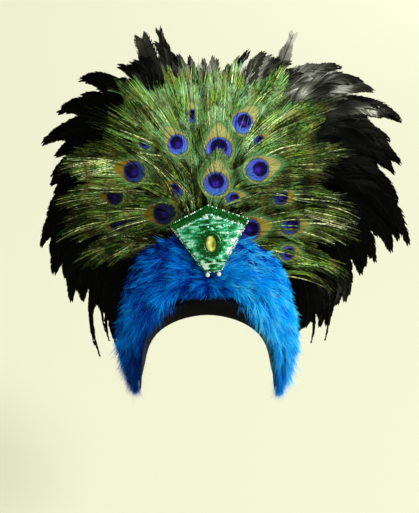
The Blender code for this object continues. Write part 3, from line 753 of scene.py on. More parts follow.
def plumage_material(colours):
    """Dyed marabou down: soft matt strands, deep blue at the root and turquoise at the tip."""
    dark = ((0.0, "#00082e"), (0.3, "#002ca4"))
    stops = (*dark, (0.6, colours.plumage), (0.82, "#00c0ff"), (1.0, "#6cd8ff"))
    return toned("dyed_marabou_down", "down", stops, Roughness=0.7, Specular_IOR_Level=0.05)


def sequin_material(colours):
    """Holographic sequins and lame: metal coated film, so each disc flashes green, mint or white."""
    dark = ((0.0, "#012c04"), (0.3, "#056a18"))
    stops = (*dark, (0.6, colours.lame), (0.82, "#7fecc4"), (1.0, "#eefff6"))
    return toned("green_sequin_lame", "tint", stops, Metallic=0.55, Roughness=0.25)


def stone_material(colours):
    """Moulded glass stone: polished and yellow green, with a painted reflection that leaves it paler on
    one side and deeper in colour on the other.
    """
    made, tree = new_material(
        "moulded_olivine_glass", Roughness=0.08, IOR=1.52, Coat_Weight=0.6, Coat_Roughness=0.03
    )
    place = add_node(tree, "TexCoord").outputs["Object"]
    cloud = add_node(tree, "TexNoise", place, 220.0, 1.0)
    # It is paler on the side towards the light's reflection, a centimetre across.
    across = add_node(tree, "SeparateXYZ", place).outputs["X"]
    side = add_node(tree, "Math", across, -70.0, cloud, operation="MULTIPLY_ADD")
    stops = ((0.0, times(colours.stone, 0.3)), (0.22, colours.stone), (0.55, "#f2f2a8"))
    return painted(made, add_node(tree, "ValToRGB", side, stops=stops))


def pearl_material():
    """Pearlised plastic beads: a milky body under a glossy coat."""
    made, tree = new_material("pearlised_bead", Roughness=0.25, Coat_Weight=0.8, Coat_Roughness=0.05)
    cloud = add_node(tree, "TexNoise", add_node(tree, "TexCoord").outputs["Object"], 400.0, 1.0)
    return painted(made, add_node(tree, "ValToRGB", cloud, stops=((0.3, "#c7d6c4"), (0.7, "#f6f8ee"))))


def grid_quads(rows, columns, closed=False):
    """Quads between rows of vertices, where each row may be closed into a ring."""
    k = np.arange(columns if closed else columns - 1)
    start = np.arange(rows - 1)[:, None] * columns
    first = start + k
    following = start + (k + 1) % columns
    return np.stack((first, first + columns, following + columns, following), axis=-1).reshape(-1, 4)


class Sheaf:
    """Collects strands and sheets, then makes one mesh of them."""

    def __init__(self, *mark_names):
        self.vertices = []
        self.quads = []
        self.marks = {name: [] for name in mark_names}
        self.count = 0

    def add(self, vertices, quads, **marks):
        """Take in vertices, quads and, for each mark, three numbers a vertex."""
        self.vertices.append(vertices.reshape(-1, 3))
        self.quads.append(quads.reshape(-1, 4) + self.count)
        for name, values in marks.items():
            self.marks[name].append(values.reshape(-1, 3))
        self.count += len(self.vertices[-1])

    def add_sheet(self, points, hidden=None, **marks):
        """Take in a sheet of rows and columns of points, without the quads that touch hidden ones."""
        quads = grid_quads(*points.shape[:2])
        if hidden is not None:
            quads = quads[~hidden.ravel()[quads].any(axis=1)]
        self.add(points, quads, **marks)

    def add_strands(self, points, half_widths, rolls, normals=None, **marks):
        """Take in flat strands through their stations, turned about their own lines by the rolls.

        They face the way of the normals, or of the fan's front. Both sides of a station get its marks.
        """
        count, stations = points.shape[:2]
        tangents = unit(np.gradient(points, axis=1))
        across = unit(np.cross(tangents, fan_front(points) if normals is None else normals))
        turn = rolls[:, None, None]
        reach = across * np.cos(turn) + np.cross(across, tangents) * np.sin(turn)
        reach *= half_widths[..., None]
        first = (np.arange(count)[:, None] * stations + np.arange(stations - 1)) * 2
        quads = np.stack((first, first + 1, first + 3, first + 2), axis=-1)
        both = {name: np.repeat(values.reshape(-1, 3), 2, axis=0) for name, values in marks.items()}
        self.add(np.stack((points - reach, points + reach), axis=2), quads, **both)

    def make(self, name, material):
        """The piece, with its marks as attributes."""
        mesh = bpy.data.meshes.new(name)
        vertices = np.concatenate(self.vertices)
        mesh.from_pydata(vertices.tolist(), [], np.concatenate(self.quads).tolist())
        for mark, values in self.marks.items():
            layer = mesh.attributes.new(mark, "FLOAT_VECTOR", "POINT")
            layer.data.foreach_set("vector", np.concatenate(values).astype(np.float32).ravel())
        mesh.shade_smooth()
        mesh.materials.append(material)
        piece = bpy.data.objects.new(name, mesh)
        bpy.context.scene.collection.objects.link(piece)
        return piece


def tone_marks(tone):
    """Marks that hold a tone alone."""
    return np.stack((tone, np.zeros_like(tone), np.zeros_like(tone)), axis=-1)


def settle(piece, slot, *nodes):
    """Hide the CAD nodes that the piece stands for and attach it to the root, which it moves with; slot
    is not used.
    """
    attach(piece, "root")
    if nodes:
        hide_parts(*nodes)


def on_fan(x, z, depth):
    """Points of the bowed fan surface, moved back by depth."""
    return np.stack((x, depth + FAN_BOW * (x * x + (z - FAN_FOCUS_Z) ** 2), z), axis=-1)


def fan_front(points):
    """The fan's front normal at the points."""
    slope = 2.0 * FAN_BOW
    x, z = points[..., 0], points[..., 2]
    return unit(np.stack((slope * x, -np.ones_like(x), slope * (z - FAN_FOCUS_Z)), axis=-1))


def unit(vectors):
    """The vectors at length one."""
    return vectors / np.maximum(np.linalg.norm(vectors, axis=-1, keepdims=True), 1e-9)


def towards(heading):
    """The direction of a heading in the fan's plane."""
    return np.array((math.cos(heading), math.sin(heading)))


def ramp(values, start, end):
    """0 at the start, 1 at the end and beyond, in a straight line between."""
    return np.clip((values - start) / (end - start), 0.0, 1.0)


def bent(start, bend, end, t):
    """Points along a line from start to end, drawn towards the bend."""
    return (1 - t) ** 2 * start + 2 * t * (1 - t) * bend + t * t * end


def taper(stations, root, tip):
    """Half width shares along a strand: narrow at the root, full, then a thin tip."""
    return np.interp(np.linspace(0.0, 1.0, stations), (0.0, 0.2, 0.6, 1.0), (root, 1.0, 0.85, tip))


def spot_distance(x, z, middle_x, middle_z, half_width, half_height):
    """Distance from the middle of an oval spot of the fan, given in mm: 1 on its edge."""
    return np.hypot((x / MM - middle_x) / half_width, (z / MM - middle_z) / half_height)


def clumped(values, size, share):
    """Values drawn together in groups, so that neighbours end in one lock."""
    groups = np.arange(len(values)) // size
    means = np.array([values[groups == g].mean() for g in range(groups[-1] + 1)])[groups]
    return values + (means - values) * share


def spine_through(line, headings, origin=0):
    """A spine through the points, measured from one of them."""
    lengths = np.concatenate(((0.0,), np.cumsum(np.linalg.norm(np.diff(line, axis=0), axis=1))))
    return Spine(lengths - lengths[origin], line[:, 0], line[:, 1], headings)


def feather_spine(row):
    """The quill's line in the fan's plane, measured from the eye, then on to the drooping tip."""
    eye = np.array((row["eye_x"], row["eye_z"])) * MM
    hub = np.array((QUILL_HUB_X * row["side"], QUILL_HUB_Z))
    start = hub + (eye - hub) / np.linalg.norm(eye - hub) * QUILL_START
    heading = math.radians(row["heading"])
    bend = eye - towards(heading) * 0.5 * np.linalg.norm(eye - start)
    t = np.linspace(0.0, 1.0, SPINE_STEPS)[:, None]
    course = (1 - t) * (bend - start) + t * (eye - bend)
    headings = np.unwrap(np.arctan2(course[:, 1], course[:, 0]))
    headings = list(headings + 2 * math.pi * round((heading - headings[-1]) / (2 * math.pi)))
    points = list(bent(start, bend, eye, t))
    for _ in range(SPINE_STEPS):
        heading -= math.radians(DROOP_DEG) / SPINE_STEPS * math.cos(heading)
        points.append(points[-1] + row["reach"] * MM / SPINE_STEPS * towards(heading))
        headings.append(heading)
    return spine_through(np.array(points), np.array(headings), SPINE_STEPS - 1)


def beside(spine, along, aside):
    """Points of the fan's plane at distances along a spine and aside from it, left positive."""
    heading = np.interp(along, spine.along, spine.heading)
    over = np.maximum(along - spine.along[-1], 0.0) + np.minimum(along - spine.along[0], 0.0)
    x = np.interp(along, spine.along, spine.x) + np.cos(heading) * over - np.sin(heading) * aside
    z = np.interp(along, spine.along, spine.z) + np.sin(heading) * over + np.cos(heading) * aside
    return x, z


def curve_between(barbs, t):
    """Barbs that leave the quill at an angle and bend forward to their ends, in quill measures."""
    root, angle, end, aside = barbs
    lean = np.abs(aside) / np.maximum(np.tan(angle), 0.05)
    rise = np.minimum(0.85 * lean, 0.6 * np.maximum(end - root, 1e-4))
    bend_aside = np.sign(aside) * np.minimum(rise * np.tan(angle), 0.95 * np.abs(aside))
    along = bent(root[:, None], (root + rise)[:, None], end[:, None], t)
    return along, bent(0.0, bend_aside[:, None], aside[:, None], t)


def in_eyes(row, x, z, edge):
    """For each eye behind this feather: which points lie on it, and the share of barbs that veil it."""
    for other in FEATHERS:
        if not other["disc"] or other["layer"] <= row["layer"]:
            continue
        ahead_x, ahead_z = towards(math.radians(other["heading"]))
        dx = x - other["eye_x"] * MM
        dz = z - other["eye_z"] * MM
        size = other["disc"] * MM
        u = (dx * ahead_x + dz * ahead_z) / size
        v = (dz * ahead_x - dx * ahead_z) / size
        width = np.maximum(OCHRE_ZONE[2] - OCHRE_NARROWING * u, 0.2)
        yield ((u - OCHRE_ZONE[0]) / OCHRE_ZONE[1]) ** 2 + (v / width) ** 2 < edge, other["veil"]


def kept_before(inside, spared, shares, draw):
    """The share of each barb before it enters a place. A share of the barbs is spared."""
    entered = np.where(inside.any(axis=1), shares[np.argmax(inside, axis=1)], 1.0)
    return np.where(draw.random(len(inside)) < spared, 1.0, entered)


def cut_at_eyes(row, x, z, shares, draw):
    """The share of each barb kept, so that eyes behind this feather and bare places stay in view."""
    keep = np.ones(len(x))
    for inside, veil in in_eyes(row, x, z, BARB_CLEARANCE):
        keep = np.minimum(keep, kept_before(inside, veil, shares, draw))
    for spot in BARE:
        inside = spot_distance(x, z, *spot) < draw.uniform(0.6, 1.2, (len(x), 1))
        keep = np.minimum(keep, kept_before(inside, BARE_STRAYS, shares, draw))
    return keep


def tones(count, draw, dark, upright):
    """Strand tones: a share of dark ones for painted shade between the locks, then olive, green, gold and
    a few pale glints that are painted highlights.

    Upright feathers are softer and greener; those at the sides have more pale strands.
    """
    tone = draw.normal(0.49 + 0.13 * upright, 0.12, count)
    pale = draw.random(count) < 0.15 - 0.12 * upright
    tone = np.where(pale, draw.uniform(0.84, 0.95 - 0.06 * upright, count), tone)
    black = draw.random(count) < dark * (1.0 - 0.55 * upright)
    tone = np.where(black, draw.uniform(0.05, 0.3, count), tone)
    return np.clip(tone, 0.02, 0.95)


def side_light(x, z):
    """Painted light and shade on the strands: brightest at the top, fading to black towards the ends of
    the side feathers.
    """
    x, z = x / MM, z / MM
    wide = np.abs(x)
    fade = ramp(wide, 126, 177) * ramp(z, 200, 150)
    shoulder = ramp(-x, 94, 114) * ramp(z, 142, 160)
    bottom = ramp(z, 8, -12)
    top = ramp(z, 110, 210) * ramp(wide, 135, 45)
    flank = ramp(wide, 35, 65) * ramp(z, 165, 135)
    low_right = ramp(z, 75, 25) * (x > 0.0)
    left = ramp(-x, 50, 80) * ramp(np.abs(z - 105), 50, 0)
    shade = (1.0 - 0.85 * np.maximum(fade, shoulder)) * (1.0 - 0.62 * bottom)
    return shade * (0.76 + 2.2 * top - 0.12 * flank + 0.62 * low_right + 0.8 * left)


def upright_share(row):
    """How far a feather stands up: 0 on its side or hanging, 1 upright."""
    return max(0.0, math.sin(math.radians(row["heading"])))


def eye_marks(row, along, aside):
    """Marks of the place in the feather's own eye, in disc radii, and of how it is lit."""
    if not row["disc"]:
        return np.full(along.shape + (3,), OFF_EYE)
    size = row["disc"] * MM
    return np.stack((along / size, aside / size, np.full_like(along, row["eye_light"])), axis=-1)


def add_barbs(sheaf, row, spine, depth, barbs, width, draw):
    """Lay barbs of one feather, in locks, cut where they would hide an eye."""
    upright = upright_share(row)
    # Barbs of a lock bend together and catch about the same light.
    lock = np.arange(len(barbs.root)) // LOCK_BARBS
    locks = lock[-1] + 1
    sway = draw.normal(0.0, 1.0, locks)[lock]
    shine = draw.uniform(0.28 + 0.22 * upright, 1.55 - 0.2 * upright, locks)[lock]
    hue = draw.normal(0.0, 0.055, locks)[lock]
    barbs = barbs._replace(aside=barbs.aside + LOCK_SWAY * sway)
    shares = np.linspace(0.0, 1.0, 24)
    x, z = beside(spine, *curve_between(barbs, shares))
    keep = cut_at_eyes(row, x, z, shares, draw)
    shown = keep > SHORTEST_BARB
    barbs = Barbs(*(part[shown] for part in barbs))
    keep, sway, shine, hue = (part[shown, None] for part in (keep, sway, shine, hue))
    shares = np.linspace(0.0, 1.0, BARB_STATIONS) * keep * np.where(keep < 1.0, 0.96, 1.0)
    along, aside = curve_between(barbs, shares)
    count = len(keep)
    wave = draw.uniform(-1.0, 1.0, (count, 1)) * np.sin(
        shares * draw.uniform(2.0, 7.0, (count, 1)) + draw.uniform(0.0, 6.3, (count, 1))
    )
    aside = aside + BARB_WAVE * wave * shares - 0.8 * LOCK_SWAY * sway * np.sin(np.pi * shares)
    x, z = beside(spine, along, aside)
    sag = BARB_SAG * abs(math.cos(math.radians(row["heading"])))
    run = np.maximum(along - row["disc"] * MM, 0.0)
    z = z - sag * run * np.clip(run / (row["reach"] * MM), 0.0, 1.0) * draw.uniform(0.3, 1.2, (count, 1))
    lift = draw.uniform(-0.0002, 0.0010, (count, 1)) + draw.uniform(-0.0006, 0.0006, (count, 1)) * shares
    points = on_fan(x, z, depth - lift)
    half = 0.5 * width * draw.uniform(0.65, 1.25, (count, 1)) * taper(BARB_STATIONS, 0.7, 0.18)
    rolls = draw.normal(0.0, 0.3, count)
    tone = tones(count, draw, DARK_SHARE if row["disc"] else DARK_SHARE_NO_EYE, upright)[:, None]
    far = np.abs(barbs.aside[:, None]) > 0.6 * row["half_width"] * MM
    tone = np.where(far & (tone > 0.8), 0.6, tone)
    tone = np.where((tone > 0.35) & (tone < 0.8), np.clip(tone + hue, 0.35, 0.8), tone)
    tone = np.repeat(tone, BARB_STATIONS, axis=1)
    length = np.linalg.norm(points[:, -1] - points[:, 0], axis=-1)[:, None] * CM_PER_M
    # Painted shade: strands near the edge of a feather lie lower, so they are darker, and so are their
    # roots.
    low = np.clip(np.abs(aside) / (row["half_width"] * MM), 0.0, 1.0) ** 2
    light = shine * side_light(x, z) * (1.0 - 0.5 * low) * (0.6 + 0.4 * np.minimum(shares * 2.0, 1.0))
    light = np.where(tone > PALE_TONE, np.maximum(light, 0.75), light)
    herl = np.stack((tone, shares * length + draw.uniform(0.0, 50.0, (count, 1)), light), axis=-1)
    sheaf.add_strands(points, half, rolls, eye=eye_marks(row, along, aside), herl=herl)


def add_vane(sheaf, row, spine, depth):
    """The close part of the vane round the eye: one sheet whose outline is a drop."""
    size = row["disc"] * MM
    p = np.linspace(0.0, 1.0, 26)[:, None]
    q = np.linspace(-1.0, 1.0, 11)
    along = (VANE_BACK + (VANE_FRONT - VANE_BACK) * p) * size + 0.35 * size * (np.abs(q) - 0.5)
    profile = np.sin(np.pi * np.clip(p, 0.02, 0.995) ** 0.74) ** 0.72
    aside = VANE_HALF * size * profile * q
    x, z = beside(spine, along, aside)
    points = on_fan(x, z, depth + VANE_BEHIND + VANE_CUP * (1.0 - q * q))
    herl = np.stack((np.full_like(x, 0.49), along * CM_PER_M, 0.8 * side_light(x, z)), axis=-1)
    sheaf.add_sheet(points, eye=eye_marks(row, along, aside), herl=herl)


def add_fringe_web(sheaf, row, spine, depth):
    """The mass of fine barbs under the loose ones: a ribbed sheet, open where an eye lies behind."""
    reach = row["reach"] * MM
    p = np.linspace(0.0, 1.0, 64)[:, None]
    q = np.linspace(-1.0, 1.0, 30)
    start = -0.35 * reach
    along = start + (0.80 * reach - start) * p - 0.16 * reach * np.abs(q)
    profile = np.sin(np.pi * np.clip(0.20 + 0.80 * p, 0.0, 0.99) ** 1.3) ** 0.8
    ragged = 1.0 + 0.10 * np.sin(37.0 * p) * np.sin(23.0 * p + 5.0 * np.sign(q))
    aside = 0.80 * row["half_width"] * MM * profile * ragged * q
    x, z = beside(spine, along, aside)
    hidden = np.zeros(x.shape, dtype=bool)
    for inside, _ in in_eyes(row, x, z, WEB_CLEARANCE):
        hidden |= inside
    for spot in BARE:
        hidden |= spot_distance(x, z, *spot) < 1.0
    upright = upright_share(row)
    # Painted shade: the web under the barbs is darker, least on upright feathers and most at its sides.
    light = side_light(x, z) * (0.30 + 0.40 * upright ** 2) * (1.0 - 0.4 * q * q)
    ribs = (along - 0.8 * np.abs(aside)) * CM_PER_M
    eye = np.stack((ribs / 2.6 + 20.0, np.zeros_like(x), np.ones_like(x)), axis=-1)
    herl = np.stack((np.full_like(x, 0.30 + 0.24 * upright), ribs, light), axis=-1)
    sheaf.add_sheet(on_fan(x, z, depth + WEB_BEHIND), hidden, eye=eye, herl=herl)


def add_cover(sheaf, row, ends, spread, count, pale, arch, draw):
    """A stray lock that lies across this feather's eye."""
    stations = 9
    t = np.linspace(0.0, 1.0, stations)
    start, end = np.array(ends).reshape(2, 2) * MM
    course = end - start
    length = np.linalg.norm(course)
    normal = np.array((-course[1], course[0])) / length
    offset = draw.uniform(-1.0, 1.0, (count, 1)) * spread * MM
    bow = draw.normal(0.0, 0.0008, (count, 1)) + math.copysign(arch, course[0]) * length
    aside = offset * (0.7 + 0.5 * t) + bow * np.sin(np.pi * t)
    run = draw.uniform(-0.10, 0.05, (count, 1)) + t * draw.uniform(0.85, 1.12, (count, 1))
    x = start[0] + course[0] * run + normal[0] * aside
    z = start[1] + course[1] * run + normal[1] * aside
    depth = FRONT_LAYER_Y + LAYER_PITCH * (row["layer"] - 0.55)
    points = on_fan(x, z, depth - draw.uniform(0.0, 0.0006, (count, 1)))
    half = COVER_HALF * draw.uniform(0.7, 1.3, (count, 1)) * taper(stations, 0.5, 0.2)
    rolls = draw.normal(0.0, 0.3, count)
    glints = draw.random(count) < pale
    glint_tones = draw.uniform(0.84, 0.95, count)
    tone = np.where(glints, glint_tones, tones(count, draw, 0.35, abs(course[1]) / length))
    tone = np.repeat(tone[:, None], stations, axis=1)
    light = np.maximum(side_light(x, z), 0.65 * (tone > PALE_TONE)) * draw.uniform(0.6, 1.3, (count, 1))
    herl = np.stack((tone, t * 5.0 + draw.uniform(0.0, 50.0, (count, 1)), light), axis=-1)
    sheaf.add_strands(points, half, rolls, eye=np.full(points.shape, OFF_EYE), herl=herl)


def add_quill(sheaf, row, spine, depth):
    """The bare quill: a thin tapered strand down the middle."""
    stations = 24
    along = np.linspace(spine.along[0], 0.35 * row["reach"] * MM, stations)[None, :]
    x, z = beside(spine, along, 0.0)
    half = np.linspace(*QUILL_HALF, stations)[None, :]
    near = along / (row["disc"] * MM) if row["disc"] else np.full_like(along, OFF_EYE)
    eye = np.stack((near, np.zeros_like(along), np.full_like(along, row["eye_light"] * 0.9)), axis=-1)
    herl = np.stack((np.ones_like(along), along * CM_PER_M, side_light(x, z) * 0.7), axis=-1)
    sheaf.add_strands(on_fan(x, z, depth - QUILL_AHEAD), half, np.zeros(1), eye=eye, herl=herl)


def feather_barbs(row, spine, gap, draw):
    """The barbs of each side: the fringe round the eye, then the loose ones up the quill below it."""
    wide = row["half_width"] * MM
    reach = row["reach"] * MM
    size = row["disc"] * MM if row["disc"] else NO_EYE_SIZE
    quill_start = spine.along[0]
    first, last = (share * size for share in FRINGE_ROOTS)
    for side in (-1.0, 1.0):
        # The fringe ends along the outline of the tip.
        count = int((last - first) / (gap * 0.42))
        place = np.sort(draw.random(count))
        ends = reach * (0.30 + 0.70 * clumped(place, LOCK_BARBS, 0.85) ** 0.8)
        ends = ends * clumped(draw.uniform(0.72, 1.12, count), LOCK_BARBS, 0.7)
        half = wide * (1.0 - np.clip(ends / reach, 0.0, 1.0) ** 2.4)
        aside = half * (1.02 - 0.92 * clumped(place, LOCK_BARBS, 0.88)) + FRINGE_LEAST
        aside *= draw.uniform(0.75, 1.1, count)
        yield Barbs(first + (last - first) * place, np.radians(62.0 - 34.0 * place), ends, side * aside)
        count = int(max(first - quill_start, 0.004) / (gap * 0.9))
        place = np.sort(draw.random(count))
        roots = quill_start + (first - quill_start) * place
        ends = roots + clumped(draw.uniform(*LOOSE_LENGTHS, count), LOCK_BARBS, 0.6)
        aside = wide * (0.35 + 0.6 * place)
        aside *= clumped(draw.uniform(0.1, 1.15, count), LOCK_BARBS, 0.7)
        yield Barbs(roots, np.radians(draw.uniform(*LOOSE_ANGLES, count)), ends, side * aside)


def make_feather(row, number, material, sizes):
    """One peacock feather: loose barbs up the quill, close ones at the eye and a long fringe."""
    draw = np.random.default_rng(FEATHER_SEED + number)
    spine = feather_spine(row)
    depth = FRONT_LAYER_Y + LAYER_PITCH * row["layer"]
    sheaf = Sheaf("eye", "herl")
    if row["layer"] >= FIRST_WEB_LAYER:
        add_fringe_web(sheaf, row, spine, depth)
    if row["disc"]:
        add_vane(sheaf, row, spine, depth)
    for feather, *ends, spread, count, pale, arch in COVERS:
        if feather == row["node"]:
            add_cover(sheaf, row, ends, spread, count, pale, arch, draw)
    add_quill(sheaf, row, spine, depth)
    for barbs in feather_barbs(row, spine, sizes.herl_gap, draw):
        add_barbs(sheaf, row, spine, depth, barbs, sizes.herl_width, draw)
    settle(sheaf.make(row["node"] + "_barbs", material), "peacock_herl", row["node"])


def cock_spine(angle, reach, droop, bend=(COCK_BEND_SHARE, COCK_BEND_REACH)):
    """A plume's line: it leaves upwards and falls to its tip."""
    lean = angle - 90.0
    low = max(0.0, abs(lean) - COCK_LOW_LEAN)
    bend_share = bend[0] + COCK_LOW_SHARE_PER_DEG * low - droop
    bend_reach = bend[1] - COCK_LOW_REACH_PER_DEG * low
    start, bend, end = (
        towards(math.radians(90.0 + lean * share)) * radius + (0.0, COCK_HUB_Z)
        for share, radius in (
            (COCK_ROOT_SHARE, COCK_ROOT_RADIUS), (bend_share, bend_reach * reach), (1.0, reach),
        )
    )
    t = np.linspace(0.0, 1.0, SPINE_STEPS)[:, None]
    course = (1 - t) * (bend - start) + t * (end - bend)
    return spine_through(bent(start, bend, end, t), np.unwrap(np.arctan2(course[:, 1], course[:, 0])))


def plume_marks(along, length, shade, shine, x, z):
    """Marks of a plume: tone, place along it and share of grey sheen."""
    sheen, middle, spread, gleam_share = shine
    place = along / length
    # Painted grey sheen: how much of it shows at each place along the plume.
    sheen_amount = np.interp(place, (0.0, 0.42, 0.66, 0.90, 1.0), (0.0, 0.25, 1.0, 0.85, 0.45))
    grey = sheen * (0.20 * sheen_amount + 0.6 * np.exp(-(((place - middle) / spread) ** 2)))
    gleam = np.zeros_like(x)
    for *spot, least in GLEAMS:
        gleam += max(gleam_share, least) * np.exp(-spot_distance(x, z, *spot) ** 2)
    # It shows on the barbs that stand up to the light.
    gleam *= np.clip(2.6 * shade - 0.7, 0.0, 1.3)
    tone = np.clip(shade + 0.42 * gleam, 0.0, 1.0)
    return np.stack((tone, place, np.minimum(grey + gleam, 1.0)), axis=-1)


def add_plume_web(sheaf, spine, depth, look, half_width, tilt, tone, shine, draw):
    """The close web of a plume under its barbs: one sheet with a ragged edge."""
    length = spine.along[-1]
    place = np.linspace(0.06, 0.985, 22)
    half = half_width(place) * 0.84 * (1.0 - 0.30 * look.ragged * (draw.random(len(place)) < 0.2))
    q = np.linspace(-1.0, 1.0, 7)
    along = np.minimum((place[:, None] - 0.035 * (1.0 - np.abs(q))) * length, length)
    aside = half[:, None] * q
    x, z = beside(spine, along, aside)
    points = on_fan(x, z, depth + PLUME_WEB_BEHIND - PLUME_DISH * np.abs(aside) - tilt * aside)
    sheaf.add_sheet(points, plume=plume_marks(along, length, tone, shine, x, z))


def add_plume(sheaf, spine, depth, look, draw):
    """One cock plume: close barbs on both sides of a thin quill, split here and there."""
    length = spine.along[-1]
    stations = 4
    shares = np.linspace(0.0, 1.0, stations)
    bulk = 1.0 + look.ragged * draw.uniform(-0.18, 0.12)
    tilt = look.ragged * draw.uniform(-0.10, 0.10)
    # The sheen is a soft highlight somewhere along the outer half.
    tone = draw.uniform(0.25, 0.75) + 0.12 * look.sheen
    sheen = min(1.0, look.sheen * draw.uniform(1.0 - 0.8 * look.ragged, 1.0 + 0.35 * look.ragged))
    gleam_share = draw.choice((0.0, 0.15, 0.35, 0.85)) * (look.sheen > 0.0)
    if look.tone is None:
        shine = (sheen, draw.uniform(0.60, 0.95), draw.uniform(0.08, 0.20), gleam_share)
    else:
        tone = look.tone
        shine = (sheen, 0.85, 0.25, gleam_share)

    def half_width(place):
        return np.interp(place, *zip(*look.widths)) * MM * bulk

    add_plume_web(sheaf, spine, depth, look, half_width, tilt, tone, shine, draw)
    for side in (-1.0, 1.0):
        count = int(length * (1.0 - look.bare) / look.gap)
        place = np.sort(draw.uniform(look.bare, 0.985, count))
        split = clumped((draw.random(count) < 0.12 * look.ragged).astype(float), 7, 1.0)
        half = half_width(place) * (1.0 - 0.55 * split)
        half *= draw.uniform(1.0 - 0.12 * look.ragged, 1.05, count)
        ends = place * length
        angles = np.radians(30.0 - 16.0 * place + 26.0 * (1.0 - look.ragged))
        roots = np.maximum(ends - half / np.tan(angles), 0.0)
        along, aside = curve_between(Barbs(roots, angles * 1.15, ends, side * half), shares)
        x, z = beside(spine, along, aside)
        lift = PLUME_DISH * np.abs(aside) + tilt * aside + draw.uniform(0.0, 0.0003, (count, 1))
        points = on_fan(x, z, depth - lift)
        width = 0.70 * look.gap * draw.uniform(0.85, 1.25, (count, 1)) * taper(stations, 0.8, 0.3)
        rolls = clumped(draw.normal(0.0, 0.35 - 0.2 * sheen, count), 9, 0.8) + 0.15 * side
        rolls = rolls * (0.3 + 0.7 * look.ragged)
        shade = clumped(draw.normal(tone, 0.06 + 0.14 * look.ragged, count), 5, 0.6)
        shade = np.clip(shade, 0.0, 0.9)[:, None]
        sheaf.add_strands(points, width, rolls, plume=plume_marks(along, length, shade, shine, x, z))
    stations = 16
    along = np.linspace(0.0, 0.97 * length, stations)[None, :]
    x, z = beside(spine, along, 0.0)
    half = np.linspace(*PLUME_QUILL_HALF, stations)[None, :]
    marks = plume_marks(along, length, 0.95, (0.0, 0.5, 1.0, 0.0), x, z)
    sheaf.add_strands(on_fan(x, z, depth - PLUME_QUILL_AHEAD), half, np.zeros(1), plume=marks)


def add_plume_group(sheaf, tip, tips, depth, gap, draw):
    """A main plume and the plumes that lie round it."""
    angle, reach, sheen = tip
    odd = ODD_PLUMES.get(angle)
    for turn, share, back, droop in FILLERS:
        main = share == 1.0
        if odd and share > 0.9 and not main:
            continue
        loose = 0.0 if main else draw.uniform(-1.0, 1.0)
        aim = angle + turn * math.copysign(1.0, 90.0 - angle) + 1.2 * loose
        # A filler reaches as far as the line through the tips of its layer.
        outline = np.interp(aim, [row[0] for row in tips], [row[1] for row in tips])
        length = (reach if main else min(outline, 1.03 * reach) * (1.0 + 0.03 * loose)) * share
        length *= np.interp(angle, *LOW_ENDS) * MM
        bare = MAIN_BARE_SHARE if main else HIDDEN_SHARE
        if main and odd:
            look = PlumeLook(odd[2], sheen, 0.6 * gap, bare, odd[3], odd[4])
            spine = cock_spine(aim, length, droop, odd[:2])
        else:
            look = PlumeLook(COCK_WIDTHS, sheen, gap, bare, 1.0)
            spine = cock_spine(aim, length, droop + 0.02 * loose)
        add_plume(sheaf, spine, depth + back * MM + draw.uniform(-0.0004, 0.0004), look, draw)


def make_sprays(material, sizes):
    """The eight sprays of black cock plumes, four in each layer."""
    near = []
    for tip, following in zip(COCK_TIPS, COCK_TIPS[1:]):
        angle, reach, sheen = (np.array(tip) + np.array(following)) / 2
        near.append((angle, reach * np.interp(angle, *COCK_NEAR_REACH), sheen))
    for layer, tips, depth, seed in (
        ("near", near, COCK_NEAR_Y, NEAR_SEED),
        ("rear", COCK_TIPS, COCK_REAR_Y, REAR_SEED),
    ):
        starts = range(0, len(tips), PLUMES_PER_SPRAY)
        for number, first in enumerate(starts, 1):
            draw = np.random.default_rng(seed + number)
            sheaf = Sheaf("plume")
            for tip in tips[first:first + PLUMES_PER_SPRAY]:
                add_plume_group(sheaf, tip, tips, depth, sizes.plume_gap, draw)
            for angle, reach in WISPS:
                # Wisps hang from the two end sprays of the near layer.
                if layer == "near" and number == (len(starts) if angle > 90.0 else 1):
                    spine = cock_spine(angle, reach * MM, draw.uniform(-0.08, 0.14))
                    look = PlumeLook(WISP_WIDTHS, 0.0, sizes.plume_gap, HIDDEN_SHARE, 1.0, 0.3)
                    add_plume(sheaf, spine, depth + WISP_BEHIND, look, draw)
            piece = sheaf.make(f"cock_spray_{layer}_{number}_plumes", material)
            settle(piece, "cock_plume", f"cock_spray_{layer}_{number}")


def cap_points(turn, drop, out):
    """Points on the head form grown by out; turn in radians from the front, drop in metres."""
    angle = np.where(
        drop <= CROWN_RISE,
        np.arccos(np.clip((CROWN_RISE - drop) / CROWN_RISE, -1.0, 1.0)),
        math.pi / 2 + (drop - CROWN_RISE) / CROWN_RISE,
    )
    spread = np.sin(np.minimum(angle, math.pi / 2))
    high = (CROWN_RISE + out) * np.cos(angle) - CROWN_RISE
    low = -CROWN_RISE * (1.0 + angle - math.pi / 2)
    return np.stack(
        (
            (HEAD_HALF_WIDTH + out) * spread * np.sin(turn),
            -(HEAD_HALF_DEPTH + out) * spread * np.cos(turn),
            np.where(angle <= math.pi / 2, high, low),
        ),
        axis=-1,
    )


def plumage_rows(place):
    """The plumage table read at places counted in stations, smoothed between its rows."""
    table = np.array(PLUMAGE, dtype=float)
    i = np.minimum(place.astype(int), LAST_STATION - 1)
    t = (place - i)[:, None]
    a, b, c, d = (table[np.clip(i + k, 0, LAST_STATION)] for k in (-1, 0, 1, 2))
    read = b + 0.5 * t * (c - a + t * (2 * a - 5 * b + 4 * c - d + t * (3 * (b - c) + d - a)))
    return dict(zip(PLUMAGE_COLUMNS, read.T))


